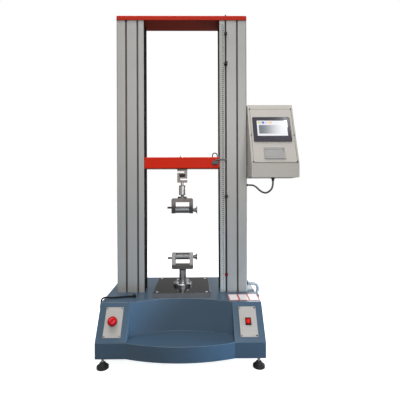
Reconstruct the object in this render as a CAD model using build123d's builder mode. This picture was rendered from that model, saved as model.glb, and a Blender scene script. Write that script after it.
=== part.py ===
# Column-type universal testing machine: a crosshead driven by two ball screws pulls a specimen
# between two roller grips, above a sheet-metal base with a scooped front tray.
# Frame: origin on the floor at the centre of the four feet, +X right, +Y back, +Z up. Millimetres.
import os
from math import hypot, pi, radians, tan

from build123d import *

os.makedirs("parts", exist_ok=True)

# Fits
SLIDE_GAP = 0.3
SEAT_GAP = 0.1

# Feet
FOOT_HEIGHT = 55
FOOT_INSET_X = 24
FOOT_INSET_Y = 36
PAD_RADIUS = 26
PAD_RIM = 9
PAD_HEIGHT = 24
PAD_NECK_RADIUS = 12
PAD_FLOOR = 8
STUD_RADIUS = 6
STUD_ABOVE_PLATE = 22
NUT_FLATS = 22
NUT_HEIGHT = 10

# Base housing of folded sheet
BASE_WIDTH = 722
BASE_DEPTH = 500
BASE_HEIGHT = 205
SHEET = 3
SKIRT_HEIGHT = 67
SLOPE_RUN = 93
EDGE_ROUND = 3
TRAY_WIDTH = 458
TRAY_TOP_SIDE = 93
TRAY_TOP_SAG = 52
TRAY_FLOOR_SIDE = 63
TRAY_FLOOR_SAG = 55
APRON_BULGE = 36

# Welded frame inside the base
FRAME_PLATE = 20
FRAME_PLATE_FRONT = 165
FRAME_PLATE_BACK = 20
FRAME_PLATE_MARGIN = 30
FRAME_FLOOR = 6
FRAME_LEG = 40
FRAME_LEG_WALL = 4
FRAME_LEG_X = 300
FRAME_LEG_FRONT_Y = -50
FRAME_LEG_BACK_Y = 175

# Rear cover
COVER_WIDTH = 600
COVER_HEIGHT = 150
COVER_THICKNESS = 2
COVER_LAP = 20
VENT_LENGTH = 70
VENT_WIDTH = 5
VENT_PITCH = 14
VENT_ROWS = 6
VENT_COLUMN_X = 190
INLET_X = -60
INLET_WIDTH = 50
INLET_HEIGHT = 30
INLET_BODY_WIDTH = 28
INLET_BODY_HEIGHT = 21
INLET_BODY_DEPTH = 26
INLET_FLANGE = 3
INLET_MOUTH_WALL = 2
INLET_MOUTH_DEPTH = 16
INLET_PIN_RADIUS = 2
INLET_PIN_LENGTH = 13
INLET_PIN_PITCH = 7

# Columns and top beam
LOAD_Y = 28
COLUMN_HEIGHT = 1344
COLUMN_WIDTH = 135
COLUMN_DEPTH = 90
COLUMN_WALL = 14
COLUMN_ROUND = 6
TEST_WIDTH = 374
SLOT_NECK = 8.6
SLOT_NECK_DEPTH = 4
SLOT_WIDTH = 14
SLOT_DEPTH = 9
SLOT_INNER = 31
SLOT_OUTER = 87
BEAM_THICKNESS = 22
BEAM_OVERHANG_FRONT = 4
BEAM_OVERHANG_BACK = 12
BEAM_ROUND = 8
LIP_THICKNESS = 1.2
LIP_MARGIN = 2
LIP_SLIT = 34
SCALE_WIDTH = 20
SCALE_THICKNESS = 0.8
SCALE_EDGE = 2.5
SCALE_END_GAP = 6

# Guides and ball screws
GUIDE_OFFSET = 35
GUIDE_RADIUS = 15
SCREW_OFFSET = 89
SCREW_RADIUS = 12.5
SCREW_HOLE_GAP = 2
BEARING_RADIUS = 22
BEARING_HEIGHT = 14
BEARING_SHOULDER = 3
PULLEY_RADIUS = 34
PULLEY_HEIGHT = 20
PULLEY_FLANGE = 2
PULLEY_DROP = 8
BELT_WIDTH = 15
BELT_THICKNESS = 2.5

# Drive motor
MOTOR_Y = 165
MOTOR_SIDE = 86
MOTOR_HEIGHT = 120
MOTOR_CAP = 18
MOTOR_PULLEY_RADIUS = 17
MOTOR_SHAFT_RADIUS = 8

# Crosshead
CROSSHEAD_ABOVE_DECK = 613
CROSSHEAD_HEIGHT = 55
CROSSHEAD_DEPTH = 84
CROSSHEAD_END_GAP = 0.5
CROSSHEAD_ROUND = 3
WEB_DEPTH = 30
CARRIAGE_DEPTH = 54
CARRIAGE_SIDE_GAP = 6
NUT_BODY_RADIUS = 19
NUT_FLANGE_RADIUS = 24
NUT_FLANGE = 10
BUSH_RADIUS = 20
BUSH_PROUD = 4
PLUG_X = 164
PLUG_WIDTH = 30
PLUG_HEIGHT = 20
PLUG_DEPTH = 14
PLUG_DROP = 17
LEAD_RADIUS = 2.5
LEAD_SPAN = 24
LEAD_RISE = 24
LEAD_Y = 0

# Limit rod, its guides, stops and the finger that meets them
ROD_RADIUS = 3
ROD_ABOVE_BEAM = 8
ROD_BELOW_DECK = 12
GUIDE_BLOCK_HEIGHT = 12
GUIDE_BLOCK_PROUD = 8
ROD_GUIDE_TOP = 66
ROD_GUIDE_BOTTOM = 87
STOP_HEIGHT = 14
STOP_PROUD = 9
STOP_KNOB_RADIUS = 8
STOP_KNOB_LENGTH = 8
STOP_KNOB_NECK = 3
ROD_BLOCK_WALL = 1
UPPER_STOP_ABOVE_DECK = 1129
LOWER_STOP_ABOVE_DECK = 473
FINGER_HEIGHT = 7
FINGER_THICKNESS = 3
FINGER_CLEAR = 3
FINGER_ROOT = 20
FINGER_DROP = 10

# Load cell and couplings
CELL_WIDTH = 51
CELL_DEPTH = 25
CELL_HEIGHT = 70
CELL_ARM = 12
CELL_SLOT = 9
CELL_WEB = 15
CELL_POCKET_WIDTH = 30
CELL_POCKET_HEIGHT = 16
CELL_POCKET_DEPTH = 2
CELL_POCKET_ROUND = 3
CELL_BOLT_RADIUS = 6
WASHER_RADIUS = 18
WASHER_THICKNESS = 4
BOLT_HEAD_FLATS = 19
BOLT_HEAD_HEIGHT = 8
STUD_GAP = 14
STUD_NECK_RADIUS = 8
SLEEVE_RADIUS = 17.5
SLEEVE_HEIGHT = 50
SLEEVE_CHAMFER = 3
YOKE_NECK = 7
STUD_REACH = 12
COLLAR_RADIUS = 24
COLLAR_HEIGHT = 9
COLLAR_CHAMFER = 3

# Roller grips
GRIP_ABOVE_DECK = 184
GRIP_WIDTH = 108
GRIP_HEIGHT = 75
GRIP_LEG = 19
GRIP_BAR = 19
GRIP_FRONT = 28
GRIP_BACK = 22
GRIP_CHAMFER = 5
JAW_CLOSED_GAP = 1
JAW_HEIGHT = 33
JAW_DEPTH = 15
JAW_PIN_RADIUS = 5
JAW_PIN_DEPTH = 27
JAW_PIN_PROUD = 23
ROLLER_RADIUS = 12.5
ROLLER_ECCENTRIC = 3
ROLLER_DEPTH = 16
ROLLER_SHAFT_RADIUS = 6
KNOB_HUB_RADIUS = 9
KNOB_REACH = 21
KNOB_SPAN = 38
KNOB_THICKNESS = 11
KNOB_ROOT_GAP = 1.5

# Platen and lower post
PLATEN_WIDTH = 270
PLATEN_DEPTH = 264
PLATEN_THICKNESS = 24
PLATEN_CHAMFER = 2
PLATEN_SCREW_INSET = 18
CAP_SCREW_RADIUS = 6
CAP_SCREW_HEIGHT = 6
CAP_SCREW_SHANK = 3.5
CAP_SCREW_LENGTH = 16
FLANGE_RADIUS = 47
FLANGE_HEIGHT = 13
FLANGE_BOLT_CIRCLE = 72
FLANGE_SOCKET_HEIGHT = 8
POST_RADIUS = 17.5
POST_FOOT_RADIUS = 25
POST_FOOT_HEIGHT = 10
POST_CONE_RADIUS = 20
POST_CONE_HEIGHT = 8

# Control panels on the two sloping pods
PANEL_X = 293
PANEL_WIDTH = 75
PANEL_HEIGHT = 125
PANEL_THICKNESS = 2
PANEL_ROUND = 3
PANEL_SCREW_INSET = 5.5
PANEL_SCREW_RADIUS = 3.5
PANEL_SCREW_HEAD = 1.8
PANEL_SCREW_SHANK = 1.6
ESTOP_BODY_RADIUS = 11
ESTOP_BODY_DEPTH = 34
ESTOP_COLLAR_RADIUS = 15
ESTOP_COLLAR_HEIGHT = 6
ESTOP_STEM_RADIUS = 7
ESTOP_TRAVEL = 6
ESTOP_TRAVEL_SPARE = 1.5
ESTOP_HEAD_RADIUS = 20
ESTOP_HEAD_RIM = 7
ESTOP_HEAD_HEIGHT = 16
ROCKER_WIDTH = 19
ROCKER_LENGTH = 22
ROCKER_END_GAP = 1.4
ROCKER_RISE = 4
ROCKER_TILT = 8
ROCKER_DEPTH = 9
BEZEL_BORDER = 1.5
BEZEL_HEIGHT = 3
BEZEL_BODY_WALL = 1.5
BEZEL_BODY_DEPTH = 20

# Console beside the right column
CONSOLE_GAP = 2
CONSOLE_WIDTH = 222
CONSOLE_ABOVE_DECK = 562
CONSOLE_FRONT_HEIGHT = 66
CONSOLE_HEIGHT = 363
CONSOLE_BACK_Y = 11
CONSOLE_BOTTOM_DEPTH = 140
CONSOLE_TOP_DEPTH = 28
CONSOLE_SHEET = 2
CONSOLE_ROUND = 3
FACE_WIDTH = 213
FACE_TOP_MARGIN = 20
FACE_BOTTOM_MARGIN = 1.5
FACE_THICKNESS = 2
FACE_ROUND = 4
FACE_LAP = 12
FACE_SCREW_INSET = 5
FACE_MID_SCREW_Y = -4
SCREEN_X = -2
SCREEN_Y = 18
SCREEN_WIDTH = 181
SCREEN_HEIGHT = 134
SCREEN_PROUD = 6
SCREEN_ROUND = 5
SCREEN_BACK_INSET = 10
SCREEN_BACK_DEPTH = 24
GLASS_WIDTH = 152
GLASS_HEIGHT = 89
GLASS_Y = 4
GLASS_THICKNESS = 2
PRINTER_X = -1
PRINTER_Y = -109
PRINTER_WIDTH = 97
PRINTER_HEIGHT = 60
PRINTER_PROUD = 4
PRINTER_BACK_INSET = 4
PRINTER_BACK_DEPTH = 40
PRINTER_WALL = 2
PRINTER_ROUND = 3
DOOR_X = -5
DOOR_WIDTH = 76
DOOR_HEIGHT = 44
DOOR_THICKNESS = 3
DOOR_BARREL_RADIUS = 1.5
BUTTON_X = 41
BUTTON_Y = 18
BUTTON_RADIUS = 2.6
BUTTON_PROUD = 1.6
BUTTON_HOLE = 5
BUTTON_SUNK = 3
BRACKET_DEPTH = 22
BRACKET_BOTTOM = 60
BRACKET_HEIGHT = 200

# Cables and their glands
CONSOLE_CABLE_RADIUS = 4.5
CONDUIT_RADIUS = 8.5
DECK_LEAD_RADIUS = 4
GLAND_WALL = 4
GLAND_LENGTH = 14
GLAND_NUT = 5
ELBOW_LENGTH = 16
ELBOW_WIDTH = 15
ELBOW_HEIGHT = 14

# Heights and half sizes that follow
base_bottom = FOOT_HEIGHT
skirt_top = base_bottom + SKIRT_HEIGHT
deck = base_bottom + BASE_HEIGHT
half_width = BASE_WIDTH / 2
half_depth = BASE_DEPTH / 2
foot_spacing_x = BASE_WIDTH - 2 * FOOT_INSET_X
foot_spacing_y = BASE_DEPTH - 2 * FOOT_INSET_Y
half_tray = TRAY_WIDTH / 2
column_top = deck + COLUMN_HEIGHT
beam_top = column_top + BEAM_THICKNESS
column_inner = TEST_WIDTH / 2
column_outer = column_inner + COLUMN_WIDTH
column_front = LOAD_Y - COLUMN_DEPTH / 2
column_back = LOAD_Y + COLUMN_DEPTH / 2
guide_x = column_inner + GUIDE_OFFSET
screw_x = column_inner + SCREW_OFFSET
rod_x = column_inner + SLOT_INNER
rod_y = column_front + SLOT_DEPTH / 2
frame_plate_top = deck - SHEET
frame_plate_bottom = frame_plate_top - FRAME_PLATE
frame_floor_top = base_bottom + FRAME_FLOOR
crosshead_bottom = deck + CROSSHEAD_ABOVE_DECK
crosshead_top = crosshead_bottom + CROSSHEAD_HEIGHT
crosshead_half = column_inner - LIP_THICKNESS - CROSSHEAD_END_GAP
crosshead_front = LOAD_Y - CROSSHEAD_DEPTH / 2
platen_top = deck + PLATEN_THICKNESS


# Housing of the base: one folded and welded sheet, open underneath.
# Pods at both sides slope back, and between them a tray is scooped out over a bulging apron.
def housing_form(wall):
    """The outer form of the base for no wall, and the space inside its sheet for a wall."""
    floor = skirt_top - wall
    bottom = base_bottom - 2 * wall
    half_scoop = half_tray + wall
    with BuildPart() as form:
        with BuildSketch(Plane.YZ):
            with BuildLine():
                Polyline(
                    (-half_depth, bottom),
                    (-half_depth, skirt_top),
                    (-half_depth + SLOPE_RUN, deck),
                    (half_depth, deck),
                    (half_depth, bottom),
                    close=True,
                )
            make_face()
            if wall:
                offset(amount=-wall, kind=Kind.INTERSECTION)
        extrude(amount=half_width - wall, both=True)
        if not wall:
            sides = form.faces().filter_by(Axis.X).edges()
            fillet(sides.filter_by(lambda edge: edge.center().Z > bottom + EDGE_ROUND), radius=EDGE_ROUND)
        with BuildSketch(Plane.XY.offset(bottom)):
            with BuildLine():
                ThreePointArc(
                    (-half_tray + wall, wall - half_depth),
                    (0, wall - half_depth - APRON_BULGE),
                    (half_tray - wall, wall - half_depth),
                )
                Line((half_tray - wall, wall - half_depth), (-half_tray + wall, wall - half_depth))
            make_face()
        extrude(amount=floor - bottom)
        for height, side, sag in (
            (floor, TRAY_FLOOR_SIDE, TRAY_FLOOR_SAG),
            (deck + EDGE_ROUND, TRAY_TOP_SIDE, TRAY_TOP_SAG),
        ):
            back = wall - half_depth + side
            front = -half_depth - APRON_BULGE - EDGE_ROUND
            with BuildSketch(Plane.XY.offset(height)):
                with BuildLine():
                    ThreePointArc((-half_scoop, back), (0, back + sag), (half_scoop, back))
                    Polyline((half_scoop, back), (half_scoop, front), (-half_scoop, front), (-half_scoop, back))
                make_face()
        loft(mode=Mode.SUBTRACT)
    return form.part


# Plane of a pod's sloping front, at the centre of its control panel, facing outwards
def pod_plane(hand):
    slope_rise = BASE_HEIGHT - SKIRT_HEIGHT
    middle = Vector(hand * PANEL_X, SLOPE_RUN / 2 - half_depth, skirt_top + slope_rise / 2)
    return Plane(origin=middle, x_dir=(1, 0, 0), z_dir=(0, -slope_rise, SLOPE_RUN))


inlet_z = base_bottom + BASE_HEIGHT / 2
housing_space = housing_form(SHEET)
with BuildPart() as base_housing:
    add(housing_form(0))
    add(housing_space, mode=Mode.SUBTRACT)
    # Holes for the switch bodies in the two pods
    with BuildSketch(pod_plane(-1)):
        Circle(ESTOP_BODY_RADIUS + SLIDE_GAP)
    extrude(amount=-3 * SHEET, mode=Mode.SUBTRACT)
    with BuildSketch(pod_plane(1)):
        Rectangle(
            ROCKER_WIDTH + 2 * (SLIDE_GAP + BEZEL_BODY_WALL + SEAT_GAP),
            ROCKER_LENGTH + 2 * (SLIDE_GAP + BEZEL_BODY_WALL + ROCKER_END_GAP),
        )
    extrude(amount=-3 * SHEET, mode=Mode.SUBTRACT)
    # Holes in the deck for the screws and the limit rod, and the window behind the rear cover
    with BuildSketch(Plane.XY.offset(deck)):
        with Locations((-screw_x, LOAD_Y), (screw_x, LOAD_Y)):
            Circle(SCREW_RADIUS + SCREW_HOLE_GAP)
        with Locations((rod_x, rod_y)):
            Circle(ROD_RADIUS + SLIDE_GAP)
    extrude(amount=-2 * SHEET, mode=Mode.SUBTRACT)
    with BuildSketch(Plane.XZ.offset(-half_depth)):
        with Locations((0, inlet_z)):
            RectangleRounded(COVER_WIDTH - 2 * COVER_LAP, COVER_HEIGHT - 2 * COVER_LAP, COVER_LAP / 2)
    extrude(amount=2 * SHEET, mode=Mode.SUBTRACT)
base_housing.part.label = "base_housing"
export_step(base_housing.part, "parts/base_housing.step")

# Welded frame in the base: floor plate, four square tubes and the thick plate that the columns stand on
with BuildPart() as base_frame:
    with BuildSketch(Plane.XY.offset(base_bottom)):
        Rectangle(BASE_WIDTH - 2 * (SHEET + SEAT_GAP), BASE_DEPTH - 2 * (SHEET + SEAT_GAP))
        with GridLocations(foot_spacing_x, foot_spacing_y, 2, 2):
            Circle(STUD_RADIUS + SEAT_GAP, mode=Mode.SUBTRACT)
    extrude(amount=FRAME_FLOOR)
    with BuildSketch(Plane.XY.offset(frame_floor_top)):
        for leg_y in (FRAME_LEG_FRONT_Y, FRAME_LEG_BACK_Y):
            with Locations((-FRAME_LEG_X, leg_y), (FRAME_LEG_X, leg_y)):
                Rectangle(FRAME_LEG, FRAME_LEG)
                Rectangle(FRAME_LEG - 2 * FRAME_LEG_WALL, FRAME_LEG - 2 * FRAME_LEG_WALL, mode=Mode.SUBTRACT)
    extrude(amount=frame_plate_bottom - frame_floor_top)
    support_front = -half_depth + FRAME_PLATE_FRONT
    support_back = half_depth - FRAME_PLATE_BACK
    with BuildSketch(Plane.XY.offset(frame_plate_bottom)):
        with Locations((0, (support_front + support_back) / 2)):
            Rectangle(BASE_WIDTH - 2 * FRAME_PLATE_MARGIN, support_back - support_front)
        with Locations((-screw_x, LOAD_Y), (screw_x, LOAD_Y)):
            Circle(SCREW_RADIUS + SCREW_HOLE_GAP, mode=Mode.SUBTRACT)
        with Locations((rod_x, rod_y)):
            Circle(ROD_RADIUS + SLIDE_GAP, mode=Mode.SUBTRACT)
    extrude(amount=FRAME_PLATE)
    with BuildSketch(Plane.XY.offset(frame_plate_top)):
        with Locations((-screw_x, LOAD_Y), (screw_x, LOAD_Y)):
            Circle(BEARING_RADIUS + SEAT_GAP)
    extrude(amount=-BEARING_HEIGHT, mode=Mode.SUBTRACT)
base_frame.part.label = "base_frame"
export_step(base_frame.part, "parts/base_frame.step")

# Feet: rubber swivel pads, studs through the floor plate, and a nut on each side of it
with BuildPart() as foot_pads:
    with BuildSketch(Plane.XZ) as pad_profile:
        with BuildLine():
            Polyline((0, PAD_FLOOR), (0, 0), (PAD_RADIUS, 0), (PAD_RADIUS, PAD_RIM))
            ThreePointArc(
                (PAD_RADIUS, PAD_RIM),
                ((PAD_RADIUS + PAD_NECK_RADIUS) / 2 - 1, (PAD_RIM + PAD_HEIGHT) / 2 - 1),
                (PAD_NECK_RADIUS, PAD_HEIGHT),
            )
            Polyline(
                (PAD_NECK_RADIUS, PAD_HEIGHT),
                (STUD_RADIUS + SEAT_GAP, PAD_HEIGHT),
                (STUD_RADIUS + SEAT_GAP, PAD_FLOOR),
                (0, PAD_FLOOR),
            )
        make_face()
    pad = revolve(pad_profile.sketch, axis=Axis.Z, mode=Mode.PRIVATE)
    with GridLocations(foot_spacing_x, foot_spacing_y, 2, 2):
        add(pad)
foot_pads.part.label = "foot_pads"
export_step(foot_pads.part, "parts/foot_pads.step")

with BuildPart() as foot_studs:
    with BuildSketch(Plane.XY.offset(PAD_FLOOR)):
        with GridLocations(foot_spacing_x, foot_spacing_y, 2, 2):
            Circle(STUD_RADIUS)
    extrude(amount=frame_floor_top + STUD_ABOVE_PLATE - PAD_FLOOR)
    for nut_bottom in (base_bottom - NUT_HEIGHT, frame_floor_top):
        with BuildSketch(Plane.XY.offset(nut_bottom)):
            with GridLocations(foot_spacing_x, foot_spacing_y, 2, 2):
                RegularPolygon(NUT_FLATS / 2, 6, major_radius=False)
                Circle(STUD_RADIUS + SEAT_GAP, mode=Mode.SUBTRACT)
        extrude(amount=NUT_HEIGHT)
foot_studs.part.label = "foot_studs"
export_step(foot_studs.part, "parts/foot_studs.step")

# Rear cover with two fields of vent slots and the cut-out for the power inlet
with BuildPart() as rear_cover:
    with BuildSketch(Plane.XZ.offset(-half_depth)):
        with Locations((0, inlet_z)):
            RectangleRounded(COVER_WIDTH, COVER_HEIGHT, COVER_LAP / 2)
        for field_x in (-VENT_COLUMN_X, VENT_COLUMN_X):
            with Locations((field_x, inlet_z)):
                with GridLocations(VENT_LENGTH, VENT_PITCH, 1, VENT_ROWS):
                    SlotOverall(VENT_LENGTH, VENT_WIDTH, mode=Mode.SUBTRACT)
        with Locations((INLET_X, inlet_z)):
            Rectangle(INLET_BODY_WIDTH + SEAT_GAP, INLET_BODY_HEIGHT + SEAT_GAP, mode=Mode.SUBTRACT)
    extrude(amount=-COVER_THICKNESS)
rear_cover.part.label = "rear_cover"
export_step(rear_cover.part, "parts/rear_cover.step")

# Power inlet: a flanged socket with three flat-ended pins in its mouth
with BuildPart() as power_inlet:
    cover_back = half_depth + COVER_THICKNESS
    with BuildSketch(Plane.XZ.offset(-cover_back)):
        with Locations((INLET_X, inlet_z)):
            RectangleRounded(INLET_WIDTH, INLET_HEIGHT, INLET_FLANGE)
    extrude(amount=-INLET_FLANGE)
    with BuildSketch(Plane.XZ.offset(-cover_back)):
        with Locations((INLET_X, inlet_z)):
            Rectangle(INLET_BODY_WIDTH, INLET_BODY_HEIGHT)
    extrude(amount=INLET_BODY_DEPTH)
    with BuildSketch(Plane.XZ.offset(-cover_back - INLET_FLANGE)):
        with Locations((INLET_X, inlet_z)):
            RectangleRounded(
                INLET_BODY_WIDTH - 2 * INLET_MOUTH_WALL,
                INLET_BODY_HEIGHT - 2 * INLET_MOUTH_WALL,
                INLET_MOUTH_WALL,
            )
    extrude(amount=INLET_MOUTH_DEPTH, mode=Mode.SUBTRACT)
    with BuildSketch(Plane.XZ.offset(INLET_MOUTH_DEPTH - cover_back - INLET_FLANGE)):
        with Locations((INLET_X, inlet_z)):
            with GridLocations(INLET_PIN_PITCH, 0, 3, 1):
                Circle(INLET_PIN_RADIUS)
    extrude(amount=-INLET_PIN_LENGTH)
power_inlet.part.label = "power_inlet"
export_step(power_inlet.part, "parts/power_inlet.step")


# Columns: open-sided aluminium extrusions with T-slots front, back and on the outer side
def slot_section(hand, x, y, turn):
    """Draw one T-slot to cut, its mouth at (x, y) and its depth along the turned Y axis."""
    with Locations(Location((hand * x, y, 0), (0, 0, turn))):
        with Locations((0, SLOT_NECK_DEPTH / 2)):
            Rectangle(SLOT_NECK, SLOT_NECK_DEPTH, mode=Mode.SUBTRACT)
        with Locations((0, (SLOT_NECK_DEPTH + SLOT_DEPTH) / 2)):
            Rectangle(SLOT_WIDTH, SLOT_DEPTH - SLOT_NECK_DEPTH, mode=Mode.SUBTRACT)


for side, hand in (("left", -1), ("right", 1)):
    with BuildPart() as column:
        with BuildSketch(Plane.XY.offset(deck)):
            with Locations((hand * (column_inner + column_outer) / 2, LOAD_Y)):
                Rectangle(COLUMN_WIDTH, COLUMN_DEPTH)
            with Locations((hand * (column_inner + column_outer - COLUMN_WALL) / 2, LOAD_Y)):
                Rectangle(COLUMN_WIDTH - COLUMN_WALL, COLUMN_DEPTH - 2 * COLUMN_WALL, mode=Mode.SUBTRACT)
            for slot_x in (column_inner + SLOT_INNER, column_inner + SLOT_OUTER):
                slot_section(hand, slot_x, column_front, 0)
                slot_section(hand, slot_x, column_back, 180)
            slot_section(hand, column_outer, LOAD_Y, hand * 90)
        extrude(amount=COLUMN_HEIGHT)
        outer_corners = column.edges().filter_by(Axis.Z).filter_by(
            lambda edge: abs(abs(edge.center().X) - column_outer) < SEAT_GAP
            and abs(abs(edge.center().Y - LOAD_Y) - COLUMN_DEPTH / 2) < SEAT_GAP
        )
        fillet(outer_corners, radius=COLUMN_ROUND)
    column.part.label = f"{side}_column"
    export_step(column.part, f"parts/{side}_column.step")

# Black rubber lips that close the open side of each column, with a slit for the crosshead's webs
with BuildPart() as dust_lips:
    lip_depth = (COLUMN_DEPTH - LIP_SLIT) / 2 - LIP_MARGIN
    with BuildSketch(Plane.XY.offset(deck)):
        with Locations((0, LOAD_Y)):
            with GridLocations(TEST_WIDTH - LIP_THICKNESS, LIP_SLIT + lip_depth, 2, 2):
                Rectangle(LIP_THICKNESS, lip_depth)
    extrude(amount=COLUMN_HEIGHT)
dust_lips.part.label = "dust_lips"
export_step(dust_lips.part, "parts/dust_lips.step")

# Top beam: a thick plate that ties the columns, with pockets for the upper screw bearings below
with BuildPart() as top_beam:
    beam_front = column_front - BEAM_OVERHANG_FRONT
    beam_back = column_back + BEAM_OVERHANG_BACK
    with BuildSketch(Plane.XY.offset(column_top)):
        with Locations((0, (beam_front + beam_back) / 2)):
            RectangleRounded(2 * column_outer, beam_back - beam_front, BEAM_ROUND)
        with Locations((rod_x, rod_y)):
            Circle(ROD_RADIUS + SLIDE_GAP, mode=Mode.SUBTRACT)
    extrude(amount=BEAM_THICKNESS)
    with BuildSketch(Plane.XY.offset(column_top)):
        with Locations((-screw_x, LOAD_Y), (screw_x, LOAD_Y)):
            Circle(BEARING_RADIUS + SEAT_GAP)
    extrude(amount=BEARING_HEIGHT + BEARING_SHOULDER, mode=Mode.SUBTRACT)
    rims = top_beam.faces().filter_by(Axis.Z).sort_by(Axis.Z)[-1].outer_wire().edges()
    fillet(rims, radius=EDGE_ROUND)
top_beam.part.label = "top_beam"
export_step(top_beam.part, "parts/top_beam.step")

# Guide rods, standing on the deck plate and held under the top beam
with BuildPart() as guide_rods:
    with BuildSketch(Plane.XY.offset(deck)):
        with Locations((-guide_x, LOAD_Y), (guide_x, LOAD_Y)):
            Circle(GUIDE_RADIUS)
    extrude(amount=COLUMN_HEIGHT)
guide_rods.part.label = "guide_rods"
export_step(guide_rods.part, "parts/guide_rods.step")

# Bearings of the ball screws, two in the base plate and two in the top beam
with BuildPart() as screw_bearings:
    for bearing_bottom in (frame_plate_top - BEARING_HEIGHT, column_top):
        with BuildSketch(Plane.XY.offset(bearing_bottom)):
            with Locations((-screw_x, LOAD_Y), (screw_x, LOAD_Y)):
                Circle(BEARING_RADIUS)
                Circle(SCREW_RADIUS + SLIDE_GAP, mode=Mode.SUBTRACT)
        extrude(amount=BEARING_HEIGHT)
screw_bearings.part.label = "screw_bearings"
export_step(screw_bearings.part, "parts/screw_bearings.step")

# Ball screws, each with its belt pulley below the base plate
pulley_top = frame_plate_bottom - PULLEY_DROP
pulley_bottom = pulley_top - PULLEY_HEIGHT
groove_radius = PULLEY_RADIUS - PULLEY_FLANGE
for side, hand in (("left", -1), ("right", 1)):
    with BuildPart() as screw:
        with BuildSketch(Plane.XY.offset(pulley_bottom)):
            with Locations((hand * screw_x, LOAD_Y)):
                Circle(SCREW_RADIUS)
        extrude(amount=column_top + BEARING_HEIGHT - pulley_bottom)
        for rim_bottom in (pulley_bottom, pulley_top - PULLEY_FLANGE):
            with BuildSketch(Plane.XY.offset(rim_bottom)):
                with Locations((hand * screw_x, LOAD_Y)):
                    Circle(PULLEY_RADIUS)
            extrude(amount=PULLEY_FLANGE)
        with BuildSketch(Plane.XY.offset(pulley_bottom)):
            with Locations((hand * screw_x, LOAD_Y)):
                Circle(groove_radius)
        extrude(amount=PULLEY_HEIGHT)
    screw.part.label = f"{side}_screw"
    export_step(screw.part, f"parts/{side}_screw.step")

# Drive motor on the floor plate, with end caps a little larger than its body
motor_top = frame_floor_top + MOTOR_HEIGHT
with BuildPart() as drive_motor:
    for level, height, trim in (
        (frame_floor_top, MOTOR_CAP, 0),
        (frame_floor_top + MOTOR_CAP, MOTOR_HEIGHT - 2 * MOTOR_CAP, EDGE_ROUND),
        (motor_top - MOTOR_CAP, MOTOR_CAP, 0),
    ):
        with BuildSketch(Plane.XY.offset(level)):
            with Locations((0, MOTOR_Y)):
                RectangleRounded(MOTOR_SIDE - 2 * trim, MOTOR_SIDE - 2 * trim, MOTOR_CAP / 2)
        extrude(amount=height)
    with BuildSketch(Plane.XY.offset(motor_top)):
        with Locations((0, MOTOR_Y)):
            Circle(MOTOR_SHAFT_RADIUS + SLIDE_GAP)
    extrude(amount=-MOTOR_CAP, mode=Mode.SUBTRACT)
drive_motor.part.label = "drive_motor"
export_step(drive_motor.part, "parts/drive_motor.step")

# Shaft of the motor with its small pulley, level with the pulleys of the screws
motor_groove = MOTOR_PULLEY_RADIUS - PULLEY_FLANGE
with BuildPart() as motor_pulley:
    with BuildSketch(Plane.XY.offset(motor_top - MOTOR_CAP + SLIDE_GAP)):
        with Locations((0, MOTOR_Y)):
            Circle(MOTOR_SHAFT_RADIUS)
    extrude(amount=pulley_top - motor_top + MOTOR_CAP - SLIDE_GAP)
    for rim_bottom in (pulley_bottom, pulley_top - PULLEY_FLANGE):
        with BuildSketch(Plane.XY.offset(rim_bottom)):
            with Locations((0, MOTOR_Y)):
                Circle(MOTOR_PULLEY_RADIUS)
        extrude(amount=PULLEY_FLANGE)
    with BuildSketch(Plane.XY.offset(pulley_bottom)):
        with Locations((0, MOTOR_Y)):
            Circle(motor_groove)
    extrude(amount=PULLEY_HEIGHT)
motor_pulley.part.label = "motor_pulley"
export_step(motor_pulley.part, "parts/motor_pulley.step")

# Toothed belt round the three pulleys, drawn as the band between two hulls
with BuildPart() as drive_belt:
    with BuildSketch(Plane.XY.offset((pulley_top + pulley_bottom - BELT_WIDTH) / 2)):
        for lift, mode in ((SLIDE_GAP + BELT_THICKNESS, Mode.ADD), (SLIDE_GAP, Mode.SUBTRACT)):
            with BuildSketch(mode=Mode.PRIVATE) as loop:
                with Locations((-screw_x, LOAD_Y), (screw_x, LOAD_Y)):
                    Circle(groove_radius + lift)
                with Locations((0, MOTOR_Y)):
                    Circle(motor_groove + lift)
                make_hull()
            add(loop.sketch, mode=mode)
    extrude(amount=BELT_WIDTH)
drive_belt.part.label = "drive_belt"
export_step(drive_belt.part, "parts/drive_belt.step")

# Scale strip beside the inner slot of the right column
with BuildPart() as column_scale:
    with BuildSketch(Plane.XY.offset(deck + SCALE_END_GAP)):
        with Locations((column_inner + SCALE_EDGE + SCALE_WIDTH / 2, column_front - SCALE_THICKNESS / 2)):
            Rectangle(SCALE_WIDTH, SCALE_THICKNESS)
    extrude(amount=COLUMN_HEIGHT - 2 * SCALE_END_GAP)
column_scale.part.label = "column_scale"
export_step(column_scale.part, "parts/column_scale.step")

# Platen, bolted to the deck, with recessed corner screws
def load_plane(height):
    """Level plane with its origin on the load axis."""
    return Plane((0, LOAD_Y, height))


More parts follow.
